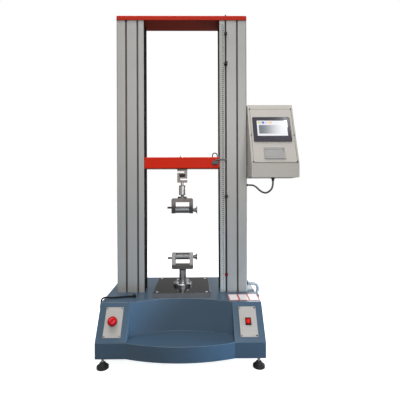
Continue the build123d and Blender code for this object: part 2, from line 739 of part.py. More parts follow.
platen_screws = GridLocations(PLATEN_WIDTH - 2 * PLATEN_SCREW_INSET, PLATEN_DEPTH - 2 * PLATEN_SCREW_INSET, 2, 2)
flange_screws = PolarLocations(FLANGE_BOLT_CIRCLE / 2, 4, start_angle=45)
flange_top = platen_top + FLANGE_HEIGHT
with BuildPart() as platen:
    with BuildSketch(load_plane(deck)):
        Rectangle(PLATEN_WIDTH, PLATEN_DEPTH)
    extrude(amount=PLATEN_THICKNESS)
    chamfer(platen.faces().sort_by(Axis.Z)[-1].edges(), length=PLATEN_CHAMFER)
    with BuildSketch(load_plane(platen_top)):
        with platen_screws:
            Circle(CAP_SCREW_RADIUS + SLIDE_GAP)
    extrude(amount=-CAP_SCREW_HEIGHT, mode=Mode.SUBTRACT)
    with BuildSketch(load_plane(platen_top - CAP_SCREW_HEIGHT)):
        with platen_screws:
            Circle(CAP_SCREW_SHANK + SEAT_GAP)
    extrude(amount=-CAP_SCREW_LENGTH, mode=Mode.SUBTRACT)
    with BuildSketch(load_plane(flange_top)):
        with flange_screws:
            Circle(CAP_SCREW_SHANK + SEAT_GAP)
    extrude(amount=-FLANGE_HEIGHT - CAP_SCREW_LENGTH, mode=Mode.SUBTRACT)
platen.part.label = "platen"
export_step(platen.part, "parts/platen.step")

# Post of the lower grip: a turned flange, a stepped foot and a cone up to the grip
grip_bottom = deck + GRIP_ABOVE_DECK - GRIP_HEIGHT
with BuildPart() as lower_post:
    with BuildSketch(load_plane(platen_top)):
        Circle(FLANGE_RADIUS)
    extrude(amount=FLANGE_HEIGHT)
    chamfer(lower_post.edges().sort_by(Axis.Z)[-1], length=PLATEN_CHAMFER)
    with BuildSketch(load_plane(platen_top)):
        with flange_screws:
            Circle(CAP_SCREW_SHANK + SEAT_GAP)
    extrude(amount=FLANGE_HEIGHT, mode=Mode.SUBTRACT)
    with BuildSketch(load_plane(flange_top)):
        Circle(POST_FOOT_RADIUS)
    extrude(amount=POST_FOOT_HEIGHT)
    with BuildSketch(load_plane(flange_top)):
        Circle(POST_RADIUS)
    extrude(amount=grip_bottom - POST_CONE_HEIGHT - flange_top)
    with BuildSketch(load_plane(grip_bottom - POST_CONE_HEIGHT)):
        Circle(POST_RADIUS)
    with BuildSketch(load_plane(grip_bottom)):
        Circle(POST_CONE_RADIUS)
    loft()
lower_post.part.label = "lower_post"
export_step(lower_post.part, "parts/lower_post.step")

# Socket screws: four sunk in the platen and four standing on the flange
with BuildPart() as table_screws:
    for seat, spots, head, length in (
        (platen_top - CAP_SCREW_HEIGHT, platen_screws, CAP_SCREW_HEIGHT, CAP_SCREW_LENGTH),
        (flange_top, flange_screws, FLANGE_SOCKET_HEIGHT, FLANGE_HEIGHT + CAP_SCREW_LENGTH),
    ):
        with BuildSketch(load_plane(seat)):
            with spots:
                Circle(CAP_SCREW_RADIUS)
        extrude(amount=head)
        with BuildSketch(load_plane(seat)):
            with spots:
                Circle(CAP_SCREW_SHANK)
        extrude(amount=-length)
        with BuildSketch(load_plane(seat + head)):
            with spots:
                RegularPolygon(CAP_SCREW_RADIUS / 2, 6)
        extrude(amount=-head / 2, mode=Mode.SUBTRACT)
table_screws.part.label = "table_screws"
export_step(table_screws.part, "parts/table_screws.step")

# Roller grips: each has a yoke, a fixed rear jaw on a cross pin, and a roller on an eccentric shaft
half_grip = GRIP_WIDTH / 2
half_mouth = half_grip - GRIP_LEG
jaw_gap = JAW_CLOSED_GAP + 2 * ROLLER_ECCENTRIC
jaw_face = LOAD_Y + jaw_gap / 2
shaft_y = jaw_face - JAW_CLOSED_GAP - ROLLER_RADIUS - ROLLER_ECCENTRIC
roller_y = jaw_face - jaw_gap - ROLLER_RADIUS
pin_y = jaw_face + JAW_DEPTH / 2
upper_mouth = (
    crosshead_bottom - CELL_HEIGHT - STUD_GAP - SLEEVE_HEIGHT - YOKE_NECK - COLLAR_HEIGHT - GRIP_HEIGHT
)
lower_mouth = deck + GRIP_ABOVE_DECK
# The roller starts with its thin side to the jaw: its axis lies straight in front of the shaft's
roller_offset = shaft_y - roller_y

for grip, mouth, way in (("lower", lower_mouth, 1), ("upper", upper_mouth, -1)):
    shaft_z = mouth - way * ROLLER_DEPTH
    pin_z = mouth - way * JAW_PIN_DEPTH
    heel = mouth - way * GRIP_HEIGHT
    with BuildPart() as yoke:
        with BuildSketch(Plane.XZ.offset(GRIP_FRONT - LOAD_Y)):
            with BuildLine():
                Polyline(
                    (-half_grip, mouth),
                    (-half_grip, heel),
                    (half_grip, heel),
                    (half_grip, mouth),
                    (half_mouth, mouth),
                    (half_mouth, heel + way * GRIP_BAR),
                    (-half_mouth, heel + way * GRIP_BAR),
                    (-half_mouth, mouth),
                    close=True,
                )
            make_face()
        extrude(amount=-GRIP_FRONT - GRIP_BACK)
        heel_corners = yoke.edges().filter_by(Axis.Y).filter_by(
            lambda edge: abs(edge.center().Z - heel) < SEAT_GAP
        )
        chamfer(heel_corners, length=GRIP_CHAMFER)
        with BuildSketch(Plane.YZ):
            with Locations((shaft_y, shaft_z)):
                Circle(ROLLER_SHAFT_RADIUS + SEAT_GAP)
            with Locations((pin_y, pin_z)):
                Circle(JAW_PIN_RADIUS + SEAT_GAP)
        extrude(amount=half_grip, both=True, mode=Mode.SUBTRACT)
        if grip == "upper":
            # Collar and neck that screw into the coupling sleeve
            with BuildSketch(Plane.XY.offset(heel)):
                with Locations((0, LOAD_Y)):
                    Circle(COLLAR_RADIUS)
            extrude(amount=COLLAR_HEIGHT)
            chamfer(yoke.faces().sort_by(Axis.Z)[-1].edges(), length=COLLAR_CHAMFER)
            with BuildSketch(Plane.XY.offset(heel + COLLAR_HEIGHT)):
                with Locations((0, LOAD_Y)):
                    Circle(STUD_NECK_RADIUS)
            extrude(amount=YOKE_NECK + STUD_REACH)
    yoke.part.label = f"{grip}_grip_yoke"
    export_step(yoke.part, f"parts/{grip}_grip_yoke.step")

    # Rear jaw bar and the cross pin that holds it
    with BuildPart() as jaw:
        with BuildSketch(Plane.XZ.offset(-jaw_face)):
            with Locations((0, mouth - way * JAW_HEIGHT / 2)):
                Rectangle(2 * (half_mouth - SEAT_GAP), JAW_HEIGHT)
        extrude(amount=-JAW_DEPTH)
        with BuildSketch(Plane.YZ):
            with Locations((pin_y, pin_z)):
                Circle(JAW_PIN_RADIUS + SEAT_GAP)
        extrude(amount=half_mouth, both=True, mode=Mode.SUBTRACT)
        with BuildSketch(Plane.YZ.offset(-half_grip - JAW_PIN_PROUD)):
            with Locations((pin_y, pin_z)):
                Circle(JAW_PIN_RADIUS)
        extrude(amount=GRIP_WIDTH + JAW_PIN_PROUD)
    jaw.part.label = f"{grip}_grip_jaw"
    export_step(jaw.part, f"parts/{grip}_grip_jaw.step")

    # Eccentric roller and its shaft
    knob_root = half_grip + KNOB_ROOT_GAP
    knob_end = half_grip + KNOB_REACH
    with BuildPart() as roller:
        with BuildSketch(Plane.YZ.offset(SLIDE_GAP - half_mouth)):
            with Locations((shaft_y - roller_offset, shaft_z)):
                Circle(ROLLER_RADIUS)
        extrude(amount=2 * (half_mouth - SLIDE_GAP))
        # Winged knob on the end of the shaft
        with BuildSketch(Plane.XZ.offset(KNOB_THICKNESS / 2 - shaft_y)):
            for wing in (-1, 1):
                tip = shaft_z + wing * KNOB_SPAN / 2
                with BuildLine():
                    Polyline(
                        (knob_root, shaft_z),
                        (knob_root, shaft_z + wing * KNOB_HUB_RADIUS),
                    )
                    ThreePointArc(
                        (knob_root, shaft_z + wing * KNOB_HUB_RADIUS),
                        ((2 * knob_end + knob_root) / 3, shaft_z + wing * (KNOB_HUB_RADIUS + KNOB_SPAN / 12)),
                        (knob_end - KNOB_HUB_RADIUS / 4, tip),
                    )
                    Polyline(
                        (knob_end - KNOB_HUB_RADIUS / 4, tip),
                        (knob_end, tip),
                        (knob_end, shaft_z),
                        (knob_root, shaft_z),
                    )
                make_face()
        extrude(amount=-KNOB_THICKNESS)
        with BuildSketch(Plane.YZ.offset(knob_root)):
            with Locations((shaft_y, shaft_z)):
                Circle(KNOB_HUB_RADIUS)
        extrude(amount=knob_end - knob_root)
        with BuildSketch(Plane.YZ.offset(knob_root)):
            with Locations((shaft_y, shaft_z)):
                Circle(ROLLER_SHAFT_RADIUS + SEAT_GAP)
        extrude(amount=knob_end - knob_root, mode=Mode.SUBTRACT)
        with BuildSketch(Plane.YZ.offset(-half_grip)):
            with Locations((shaft_y, shaft_z)):
                Circle(ROLLER_SHAFT_RADIUS)
        extrude(amount=GRIP_WIDTH + KNOB_REACH)
    roller.part.label = f"{grip}_grip_roller"
    export_step(roller.part, f"parts/{grip}_grip_roller.step")

# Crosshead beam, bored for the load cell's bolt
with BuildPart() as crosshead_beam:
    with BuildSketch(Plane.XY.offset(crosshead_bottom)):
        with Locations((0, LOAD_Y)):
            Rectangle(2 * crosshead_half, CROSSHEAD_DEPTH)
            Circle(CELL_BOLT_RADIUS + SEAT_GAP, mode=Mode.SUBTRACT)
    extrude(amount=CROSSHEAD_HEIGHT)
    fillet(crosshead_beam.edges().filter_by(Axis.X), radius=CROSSHEAD_ROUND)
crosshead_beam.part.label = "crosshead_beam"
export_step(crosshead_beam.part, "parts/crosshead_beam.step")

# Carriages inside the columns, joined to the beam by a web through the slit of the dust lips
carriage_inner = column_inner + CARRIAGE_SIDE_GAP
carriage_outer = column_outer - COLUMN_WALL - CARRIAGE_SIDE_GAP
with BuildPart() as carriages:
    for hand in (-1, 1):
        with BuildSketch(Plane.XY.offset(crosshead_bottom)):
            with Locations((hand * (carriage_inner + carriage_outer) / 2, LOAD_Y)):
                Rectangle(carriage_outer - carriage_inner, CARRIAGE_DEPTH)
            with Locations((hand * (crosshead_half + carriage_inner) / 2, LOAD_Y)):
                Rectangle(carriage_inner - crosshead_half, WEB_DEPTH)
            with Locations((hand * guide_x, LOAD_Y)):
                Circle(BUSH_RADIUS + SEAT_GAP, mode=Mode.SUBTRACT)
            with Locations((hand * screw_x, LOAD_Y)):
                Circle(NUT_BODY_RADIUS + SEAT_GAP, mode=Mode.SUBTRACT)
        extrude(amount=CROSSHEAD_HEIGHT)
carriages.part.label = "carriages"
export_step(carriages.part, "parts/carriages.step")

# Ball nuts and guide bushes in the carriages
with BuildPart() as carriage_bearings:
    with BuildSketch(Plane.XY.offset(crosshead_bottom - NUT_FLANGE)):
        with Locations((-screw_x, LOAD_Y), (screw_x, LOAD_Y)):
            Circle(NUT_FLANGE_RADIUS)
    extrude(amount=NUT_FLANGE)
    with BuildSketch(Plane.XY.offset(crosshead_bottom)):
        with Locations((-screw_x, LOAD_Y), (screw_x, LOAD_Y)):
            Circle(NUT_BODY_RADIUS)
    extrude(amount=CROSSHEAD_HEIGHT)
    with BuildSketch(Plane.XY.offset(crosshead_bottom - NUT_FLANGE)):
        with Locations((-screw_x, LOAD_Y), (screw_x, LOAD_Y)):
            Circle(SCREW_RADIUS + SLIDE_GAP)
    extrude(amount=CROSSHEAD_HEIGHT + NUT_FLANGE, mode=Mode.SUBTRACT)
    with BuildSketch(Plane.XY.offset(crosshead_bottom - BUSH_PROUD)):
        with Locations((-guide_x, LOAD_Y), (guide_x, LOAD_Y)):
            Circle(BUSH_RADIUS)
            Circle(GUIDE_RADIUS + SLIDE_GAP, mode=Mode.SUBTRACT)
    extrude(amount=CROSSHEAD_HEIGHT + 2 * BUSH_PROUD)
carriage_bearings.part.label = "carriage_bearings"
export_step(carriage_bearings.part, "parts/carriage_bearings.step")

# Finger on the crosshead that reaches across the scale to the limit rod's stops
finger_top = crosshead_top - FINGER_DROP
finger_back = column_front - SCALE_THICKNESS - FINGER_CLEAR
finger_left = crosshead_half - FINGER_ROOT
with BuildPart() as limit_finger:
    with BuildSketch(Plane.XY.offset(finger_top - FINGER_HEIGHT)):
        with BuildLine():
            Polyline(
                (finger_left, crosshead_front),
                (finger_left, finger_back - FINGER_THICKNESS),
                (rod_x + SLOT_NECK / 2, finger_back - FINGER_THICKNESS),
                (rod_x + SLOT_NECK / 2, finger_back),
                (crosshead_half, finger_back),
                (crosshead_half, crosshead_front),
                close=True,
            )
        make_face()
    extrude(amount=FINGER_HEIGHT)
limit_finger.part.label = "limit_finger"
export_step(limit_finger.part, "parts/limit_finger.step")

# Plug of the load cell's lead on the front of the crosshead, and the loop of lead on its top
with BuildPart() as cell_plug:
    with BuildSketch(Plane.XZ.offset(-crosshead_front)):
        with Locations((PLUG_X, crosshead_bottom + PLUG_DROP + PLUG_HEIGHT / 2)):
            RectangleRounded(PLUG_WIDTH, PLUG_HEIGHT, EDGE_ROUND)
    extrude(amount=PLUG_DEPTH / 2)
    with BuildSketch(Plane.XZ.offset(PLUG_DEPTH / 2 - crosshead_front)):
        with Locations((PLUG_X, crosshead_bottom + PLUG_DROP + PLUG_HEIGHT / 2)):
            RectangleRounded(PLUG_WIDTH - 2 * EDGE_ROUND, PLUG_HEIGHT - 2 * EDGE_ROUND, EDGE_ROUND)
    extrude(amount=PLUG_DEPTH / 2)
cell_plug.part.label = "cell_plug"
export_step(cell_plug.part, "parts/cell_plug.step")

with BuildPart() as cell_lead:
    lead_left = PLUG_X - LEAD_SPAN / 2
    lead_right = PLUG_X + LEAD_SPAN / 2
    lead_shoulder = crosshead_top + LEAD_RISE - LEAD_SPAN / 2 - LEAD_RADIUS
    with BuildLine() as lead_path:
        Line((lead_left, LEAD_Y, crosshead_top), (lead_left, LEAD_Y, lead_shoulder))
        ThreePointArc(
            (lead_left, LEAD_Y, lead_shoulder),
            (PLUG_X, LEAD_Y, lead_shoulder + LEAD_SPAN / 2),
            (lead_right, LEAD_Y, lead_shoulder),
        )
        Line((lead_right, LEAD_Y, lead_shoulder), (lead_right, LEAD_Y, crosshead_top))
    with BuildSketch(Plane((lead_left, LEAD_Y, crosshead_top))):
        Circle(LEAD_RADIUS)
    sweep(path=lead_path.line)
cell_lead.part.label = "cell_lead"
export_step(cell_lead.part, "parts/cell_lead.step")

# S-type load cell: a block with one slot open to the left, one open to the right, and a shallow pocket
# for the sealed gauges in the middle of its front and back
cell_bottom = crosshead_bottom - CELL_HEIGHT
with BuildPart() as load_cell:
    with BuildSketch(Plane.XZ.offset(CELL_DEPTH / 2 - LOAD_Y)):
        with Locations((0, crosshead_bottom - CELL_HEIGHT / 2)):
            Rectangle(CELL_WIDTH, CELL_HEIGHT)
        for hand, slot_z in (
            (-1, crosshead_bottom - CELL_ARM - CELL_SLOT / 2),
            (1, cell_bottom + CELL_ARM + CELL_SLOT / 2),
        ):
            with Locations((hand * CELL_WEB / 2, slot_z)):
                Rectangle(CELL_WIDTH - CELL_WEB, CELL_SLOT, mode=Mode.SUBTRACT)
    extrude(amount=-CELL_DEPTH)
    for side in (-1, 1):
        with BuildSketch(Plane.XZ.offset(side * CELL_DEPTH / 2 - LOAD_Y)):
            with Locations((0, crosshead_bottom - CELL_HEIGHT / 2)):
                RectangleRounded(CELL_POCKET_WIDTH, CELL_POCKET_HEIGHT, CELL_POCKET_ROUND)
        extrude(amount=-side * CELL_POCKET_DEPTH, mode=Mode.SUBTRACT)
    with BuildSketch(Plane.XY.offset(cell_bottom)):
        with Locations((0, LOAD_Y)):
            Circle(CELL_BOLT_RADIUS + SEAT_GAP)
    extrude(amount=CELL_ARM, mode=Mode.SUBTRACT)
    with BuildSketch(Plane.XY.offset(crosshead_bottom)):
        with Locations((0, LOAD_Y)):
            Circle(CELL_BOLT_RADIUS + SEAT_GAP)
    extrude(amount=-CELL_ARM, mode=Mode.SUBTRACT)
load_cell.part.label = "load_cell"
export_step(load_cell.part, "parts/load_cell.step")

# Bolt that hangs the load cell under the crosshead, with its washer, and the stud below the cell
sleeve_top = cell_bottom - STUD_GAP
sleeve_bottom = sleeve_top - SLEEVE_HEIGHT
with BuildPart() as load_cell_bolts:
    with BuildSketch(Plane.XY.offset(crosshead_bottom - CELL_ARM)):
        with Locations((0, LOAD_Y)):
            Circle(CELL_BOLT_RADIUS)
    extrude(amount=CROSSHEAD_HEIGHT + CELL_ARM + WASHER_THICKNESS)
    with BuildSketch(Plane.XY.offset(crosshead_top)):
        with Locations((0, LOAD_Y)):
            Circle(WASHER_RADIUS)
    extrude(amount=WASHER_THICKNESS)
    with BuildSketch(Plane.XY.offset(crosshead_top + WASHER_THICKNESS)):
        with Locations((0, LOAD_Y)):
            RegularPolygon(BOLT_HEAD_FLATS / 2, 6, major_radius=False)
    extrude(amount=BOLT_HEAD_HEIGHT)
    with BuildSketch(Plane.XY.offset(cell_bottom)):
        with Locations((0, LOAD_Y)):
            Circle(CELL_BOLT_RADIUS)
    extrude(amount=CELL_ARM)
    with BuildSketch(Plane.XY.offset(cell_bottom)):
        with Locations((0, LOAD_Y)):
            Circle(STUD_NECK_RADIUS)
    extrude(amount=-STUD_GAP - STUD_REACH)
load_cell_bolts.part.label = "load_cell_bolts"
export_step(load_cell_bolts.part, "parts/load_cell_bolts.step")

# Coupling sleeve between the load cell's stud and the upper grip
with BuildPart() as coupling_sleeve:
    with BuildSketch(Plane.XY.offset(sleeve_bottom)):
        with Locations((0, LOAD_Y)):
            Circle(SLEEVE_RADIUS)
            Circle(STUD_NECK_RADIUS + SEAT_GAP, mode=Mode.SUBTRACT)
    extrude(amount=SLEEVE_HEIGHT)
    rims = coupling_sleeve.edges().filter_by(GeomType.CIRCLE).group_by(SortBy.RADIUS)[-1]
    chamfer(rims, length=SLEEVE_CHAMFER)
coupling_sleeve.part.label = "coupling_sleeve"
export_step(coupling_sleeve.part, "parts/coupling_sleeve.step")

# Limit rod in the inner slot of the right column, from below the deck to above the top beam
with BuildPart() as limit_rod:
    with BuildSketch(Plane.XY.offset(deck - ROD_BELOW_DECK)):
        with Locations((rod_x, rod_y)):
            Circle(ROD_RADIUS)
    extrude(amount=beam_top + ROD_ABOVE_BEAM - deck + ROD_BELOW_DECK)
limit_rod.part.label = "limit_rod"
export_step(limit_rod.part, "parts/limit_rod.step")


# Blocks on the limit rod: each fills the slot's neck, keeps clear of its sides, and stands out in front
def rod_block(middle, height, proud):
    block_front = column_front - proud
    block_back = rod_y + ROD_RADIUS + ROD_BLOCK_WALL
    with BuildPart() as block:
        with BuildSketch(Plane((rod_x, 0, middle - height / 2))):
            with Locations((0, (block_front + block_back) / 2)):
                Rectangle(SLOT_NECK - 2 * SLIDE_GAP, block_back - block_front)
            with Locations((0, column_front - (proud + SLIDE_GAP) / 2)):
                Rectangle(SLOT_WIDTH, proud - SLIDE_GAP)
            with Locations((0, rod_y)):
                Circle(ROD_RADIUS + SEAT_GAP, mode=Mode.SUBTRACT)
        extrude(amount=height)
    return block.part


guide_blocks = [
    rod_block(middle, GUIDE_BLOCK_HEIGHT, GUIDE_BLOCK_PROUD)
    for middle in (column_top - ROD_GUIDE_TOP, deck + ROD_GUIDE_BOTTOM)
]
with BuildPart() as rod_guides:
    add(guide_blocks)
rod_guides.part.label = "rod_guides"
export_step(rod_guides.part, "parts/rod_guides.step")

for stop, stop_above_deck in (("upper", UPPER_STOP_ABOVE_DECK), ("lower", LOWER_STOP_ABOVE_DECK)):
    stop_block = rod_block(deck + stop_above_deck, STOP_HEIGHT, STOP_PROUD)
    stop_front = Plane((rod_x, column_front - STOP_PROUD, deck + stop_above_deck), z_dir=(0, -1, 0))
    with BuildPart() as rod_stop:
        add(stop_block)
        # Thumb screw on the front of the stop
        with BuildSketch(stop_front):
            Circle(STOP_KNOB_RADIUS / 2)
        extrude(amount=STOP_KNOB_NECK)
        with BuildSketch(stop_front.offset(STOP_KNOB_NECK)):
            Circle(STOP_KNOB_RADIUS)
        extrude(amount=STOP_KNOB_LENGTH)
    rod_stop.part.label = f"{stop}_stop"
    export_step(rod_stop.part, f"parts/{stop}_stop.step")

# Panel plates of the pods, with the holes for the emergency stop and the power switch
rocker_mouth_width = ROCKER_WIDTH + 2 * SLIDE_GAP
rocker_mouth_length = ROCKER_LENGTH + 2 * ROCKER_END_GAP
bezel_body_width = rocker_mouth_width + 2 * BEZEL_BODY_WALL
bezel_body_length = rocker_mouth_length + 2 * BEZEL_BODY_WALL
panel_corners = GridLocations(PANEL_WIDTH - 2 * PANEL_SCREW_INSET, PANEL_HEIGHT - 2 * PANEL_SCREW_INSET, 2, 2)
with BuildPart() as pod_panels:
    for hand in (-1, 1):
        with BuildSketch(pod_plane(hand)):
            RectangleRounded(PANEL_WIDTH, PANEL_HEIGHT, PANEL_ROUND)
            with panel_corners:
                Circle(PANEL_SCREW_SHANK + SEAT_GAP, mode=Mode.SUBTRACT)
            if hand < 0:
                Circle(ESTOP_BODY_RADIUS + SEAT_GAP, mode=Mode.SUBTRACT)
            else:
                Rectangle(bezel_body_width + SEAT_GAP, bezel_body_length + SEAT_GAP, mode=Mode.SUBTRACT)
        extrude(amount=PANEL_THICKNESS)
pod_panels.part.label = "pod_panels"
export_step(pod_panels.part, "parts/pod_panels.step")

# Emergency stop: fixed collar and body, a stem that slides in it, and a mushroom head that turns on the stem
estop_plane = pod_plane(-1)
collar_top = PANEL_THICKNESS + ESTOP_COLLAR_HEIGHT
head_bottom = collar_top + ESTOP_TRAVEL + ESTOP_TRAVEL_SPARE
stem_bottom = 2 * ESTOP_TRAVEL - ESTOP_BODY_DEPTH
with BuildPart() as estop_collar:
    with BuildSketch(estop_plane.offset(-ESTOP_BODY_DEPTH)):
        Circle(ESTOP_BODY_RADIUS)
    extrude(amount=ESTOP_BODY_DEPTH + PANEL_THICKNESS)
    with BuildSketch(estop_plane.offset(PANEL_THICKNESS)):
        Circle(ESTOP_COLLAR_RADIUS)
    extrude(amount=ESTOP_COLLAR_HEIGHT)
    with BuildSketch(estop_plane.offset(collar_top)):
        Circle(ESTOP_STEM_RADIUS + SLIDE_GAP)
    extrude(amount=stem_bottom - ESTOP_TRAVEL - ESTOP_TRAVEL_SPARE - collar_top, mode=Mode.SUBTRACT)
estop_collar.part.label = "estop_collar"
export_step(estop_collar.part, "parts/estop_collar.step")

with BuildPart() as estop_stem:
    with BuildSketch(estop_plane.offset(stem_bottom)):
        Circle(ESTOP_STEM_RADIUS)
    extrude(amount=head_bottom - stem_bottom)
estop_stem.part.label = "estop_stem"
export_step(estop_stem.part, "parts/estop_stem.step")

with BuildPart() as estop_head:
    with BuildSketch(estop_plane.offset(head_bottom)):
        Circle(ESTOP_HEAD_RADIUS)
    extrude(amount=ESTOP_HEAD_HEIGHT)
    crown = estop_head.faces().sort_by(Axis(estop_plane.origin, estop_plane.z_dir))[-1].edges()
    fillet(crown, radius=ESTOP_HEAD_HEIGHT - ESTOP_HEAD_RIM)
estop_head.part.label = "estop_head"
export_step(estop_head.part, "parts/estop_head.step")

# Power switch: a bezel with a box behind it, and the rocker that tilts in its mouth
switch_plane = pod_plane(1)
bezel_top = PANEL_THICKNESS + BEZEL_HEIGHT
with BuildPart() as rocker_bezel:
    with BuildSketch(switch_plane.offset(PANEL_THICKNESS)):
        RectangleRounded(
            bezel_body_width + 2 * BEZEL_BORDER,
            bezel_body_length + 2 * BEZEL_BORDER,
            BEZEL_BORDER / 2,
        )
    extrude(amount=BEZEL_HEIGHT)
    with BuildSketch(switch_plane.offset(PANEL_THICKNESS)):
        Rectangle(bezel_body_width, bezel_body_length)
    extrude(amount=-BEZEL_BODY_DEPTH)
    with BuildSketch(switch_plane.offset(bezel_top)):
        Rectangle(rocker_mouth_width, rocker_mouth_length)
    extrude(amount=-ROCKER_DEPTH - 2 * BEZEL_HEIGHT, mode=Mode.SUBTRACT)
rocker_bezel.part.label = "rocker_bezel"
export_step(rocker_bezel.part, "parts/rocker_bezel.step")

# The rocker's section lies across its pivot: two raised ends, a dip between them and a round belly
with BuildPart() as rocker:
    half_rocker = ROCKER_LENGTH / 2
    pivot = switch_plane.offset(PANEL_THICKNESS)
    along = pivot.y_dir.rotate(Axis.X, -ROCKER_TILT)
    section_plane = Plane(origin=pivot.origin, x_dir=along, z_dir=(1, 0, 0))
    with BuildSketch(section_plane.offset(-ROCKER_WIDTH / 2)):
        with BuildLine():
            ThreePointArc((-half_rocker, 0), (0, -ROCKER_DEPTH), (half_rocker, 0))
            Line((half_rocker, 0), (half_rocker, BEZEL_HEIGHT + ROCKER_RISE))
            ThreePointArc(
                (half_rocker, BEZEL_HEIGHT + ROCKER_RISE),
                (0, BEZEL_HEIGHT + ROCKER_RISE / 2),
                (-half_rocker, BEZEL_HEIGHT + ROCKER_RISE),
            )
            Line((-half_rocker, BEZEL_HEIGHT + ROCKER_RISE), (-half_rocker, 0))
        make_face()
    extrude(amount=ROCKER_WIDTH)
rocker.part.label = "rocker"
export_step(rocker.part, "parts/rocker.step")

# Console: a sheet-metal box with an upright lower front and a sloping face
console_left = column_outer + CONSOLE_GAP
console_x = console_left + CONSOLE_WIDTH / 2
console_bottom = deck + CONSOLE_ABOVE_DECK
console_top = console_bottom + CONSOLE_HEIGHT
console_front = CONSOLE_BACK_Y - CONSOLE_BOTTOM_DEPTH
console_crest = CONSOLE_BACK_Y - CONSOLE_TOP_DEPTH
slope_bottom = console_bottom + CONSOLE_FRONT_HEIGHT
slope_run = console_crest - console_front
slope_rise = console_top - slope_bottom
face_plane = Plane(
    origin=(console_x, console_front + slope_run / 2, slope_bottom + slope_rise / 2),
    x_dir=(1, 0, 0),
    z_dir=(0, -slope_rise, slope_run),
)
face_height = hypot(slope_run, slope_rise) - FACE_TOP_MARGIN - FACE_BOTTOM_MARGIN
face_y = (FACE_BOTTOM_MARGIN - FACE_TOP_MARGIN) / 2

with BuildPart() as console_case:
    for wall, mode in ((0, Mode.ADD), (CONSOLE_SHEET, Mode.SUBTRACT)):
        with BuildSketch(Plane.YZ.offset(console_left + wall)):
            with BuildLine():
                Polyline(
                    (CONSOLE_BACK_Y, console_bottom),
                    (console_front, console_bottom),
                    (console_front, slope_bottom),
                    (console_crest, console_top),
                    (CONSOLE_BACK_Y, console_top),
                    close=True,
                )
            make_face()
            if wall:
                offset(amount=-wall, kind=Kind.INTERSECTION)
        extrude(amount=CONSOLE_WIDTH - 2 * wall, mode=mode)
        if not wall:
            fillet(console_case.faces().filter_by(Axis.X).edges(), radius=CONSOLE_ROUND)
    with BuildSketch(face_plane):
        with Locations((0, face_y)):
            Rectangle(FACE_WIDTH - 2 * FACE_LAP, face_height - 2 * FACE_LAP)
    extrude(amount=-3 * CONSOLE_SHEET, mode=Mode.SUBTRACT)
console_case.part.label = "console_case"
export_step(console_case.part, "parts/console_case.step")

# Face plate of the console with cut-outs for the screen and the printer
screen_back_width = SCREEN_WIDTH - 2 * SCREEN_BACK_INSET
screen_back_height = SCREEN_HEIGHT - 2 * SCREEN_BACK_INSET
printer_back_width = PRINTER_WIDTH - 2 * PRINTER_BACK_INSET
printer_back_height = PRINTER_HEIGHT - 2 * PRINTER_BACK_INSET
face_screw_x = FACE_WIDTH / 2 - FACE_SCREW_INSET
face_screw_y = face_height / 2 - FACE_SCREW_INSET
face_screws = [
    (hand * face_screw_x, face_y + height)
    for hand in (-1, 1)
    for height in (-face_screw_y, FACE_MID_SCREW_Y, face_screw_y)
]
with BuildPart() as console_face:
    with BuildSketch(face_plane):
        with Locations((0, face_y)):
            RectangleRounded(FACE_WIDTH, face_height, FACE_ROUND)
        with Locations((SCREEN_X, SCREEN_Y)):
            Rectangle(screen_back_width + SEAT_GAP, screen_back_height + SEAT_GAP, mode=Mode.SUBTRACT)
        with Locations((PRINTER_X, PRINTER_Y)):
            Rectangle(printer_back_width + SEAT_GAP, printer_back_height + SEAT_GAP, mode=Mode.SUBTRACT)
        with Locations(*face_screws):
            Circle(PANEL_SCREW_SHANK + SEAT_GAP, mode=Mode.SUBTRACT)
    extrude(amount=FACE_THICKNESS)
console_face.part.label = "console_face"
export_step(console_face.part, "parts/console_face.step")

# Pan-head screws of the two pod panels and of the console's face plate
with BuildPart() as panel_screws:
    for plane, thickness, spots in (
        (pod_plane(-1), PANEL_THICKNESS, panel_corners),
        (pod_plane(1), PANEL_THICKNESS, panel_corners),
        (face_plane, FACE_THICKNESS, Locations(*face_screws)),
    ):
        with BuildSketch(plane.offset(thickness)):
            with spots:
                Circle(PANEL_SCREW_RADIUS)
        extrude(amount=PANEL_SCREW_HEAD)
        with BuildSketch(plane):
            with spots:
                Circle(PANEL_SCREW_SHANK)
        extrude(amount=thickness)
panel_screws.part.label = "panel_screws"
export_step(panel_screws.part, "parts/panel_screws.step")

# Touch screen: a bezel with its electronics box behind, and the glass let into it
plate_front = face_plane.offset(FACE_THICKNESS)
screen_plane = plate_front.shift_origin(plate_front.from_local_coords((SCREEN_X, SCREEN_Y)))
with BuildPart() as screen_bezel:
    with BuildSketch(screen_plane):
        RectangleRounded(SCREEN_WIDTH, SCREEN_HEIGHT, SCREEN_ROUND)
    extrude(amount=SCREEN_PROUD)
    rim = screen_bezel.faces().sort_by(Axis(screen_plane.origin, screen_plane.z_dir))[-1].edges()
    chamfer(rim, length=GLASS_THICKNESS)
    with BuildSketch(screen_plane):
        Rectangle(screen_back_width, screen_back_height)
    extrude(amount=-SCREEN_BACK_DEPTH)
    with BuildSketch(screen_plane.offset(SCREEN_PROUD)):
        with Locations((0, GLASS_Y)):
            Rectangle(GLASS_WIDTH + 2 * SEAT_GAP, GLASS_HEIGHT + 2 * SEAT_GAP)
    extrude(amount=-GLASS_THICKNESS, mode=Mode.SUBTRACT)
screen_bezel.part.label = "screen_bezel"
export_step(screen_bezel.part, "parts/screen_bezel.step")

with BuildPart() as screen_glass:
    with BuildSketch(screen_plane.offset(SCREEN_PROUD - GLASS_THICKNESS)):
        with Locations((0, GLASS_Y)):
            Rectangle(GLASS_WIDTH, GLASS_HEIGHT)
    extrude(amount=GLASS_THICKNESS)
screen_glass.part.label = "screen_glass"
export_step(screen_glass.part, "parts/screen_glass.step")

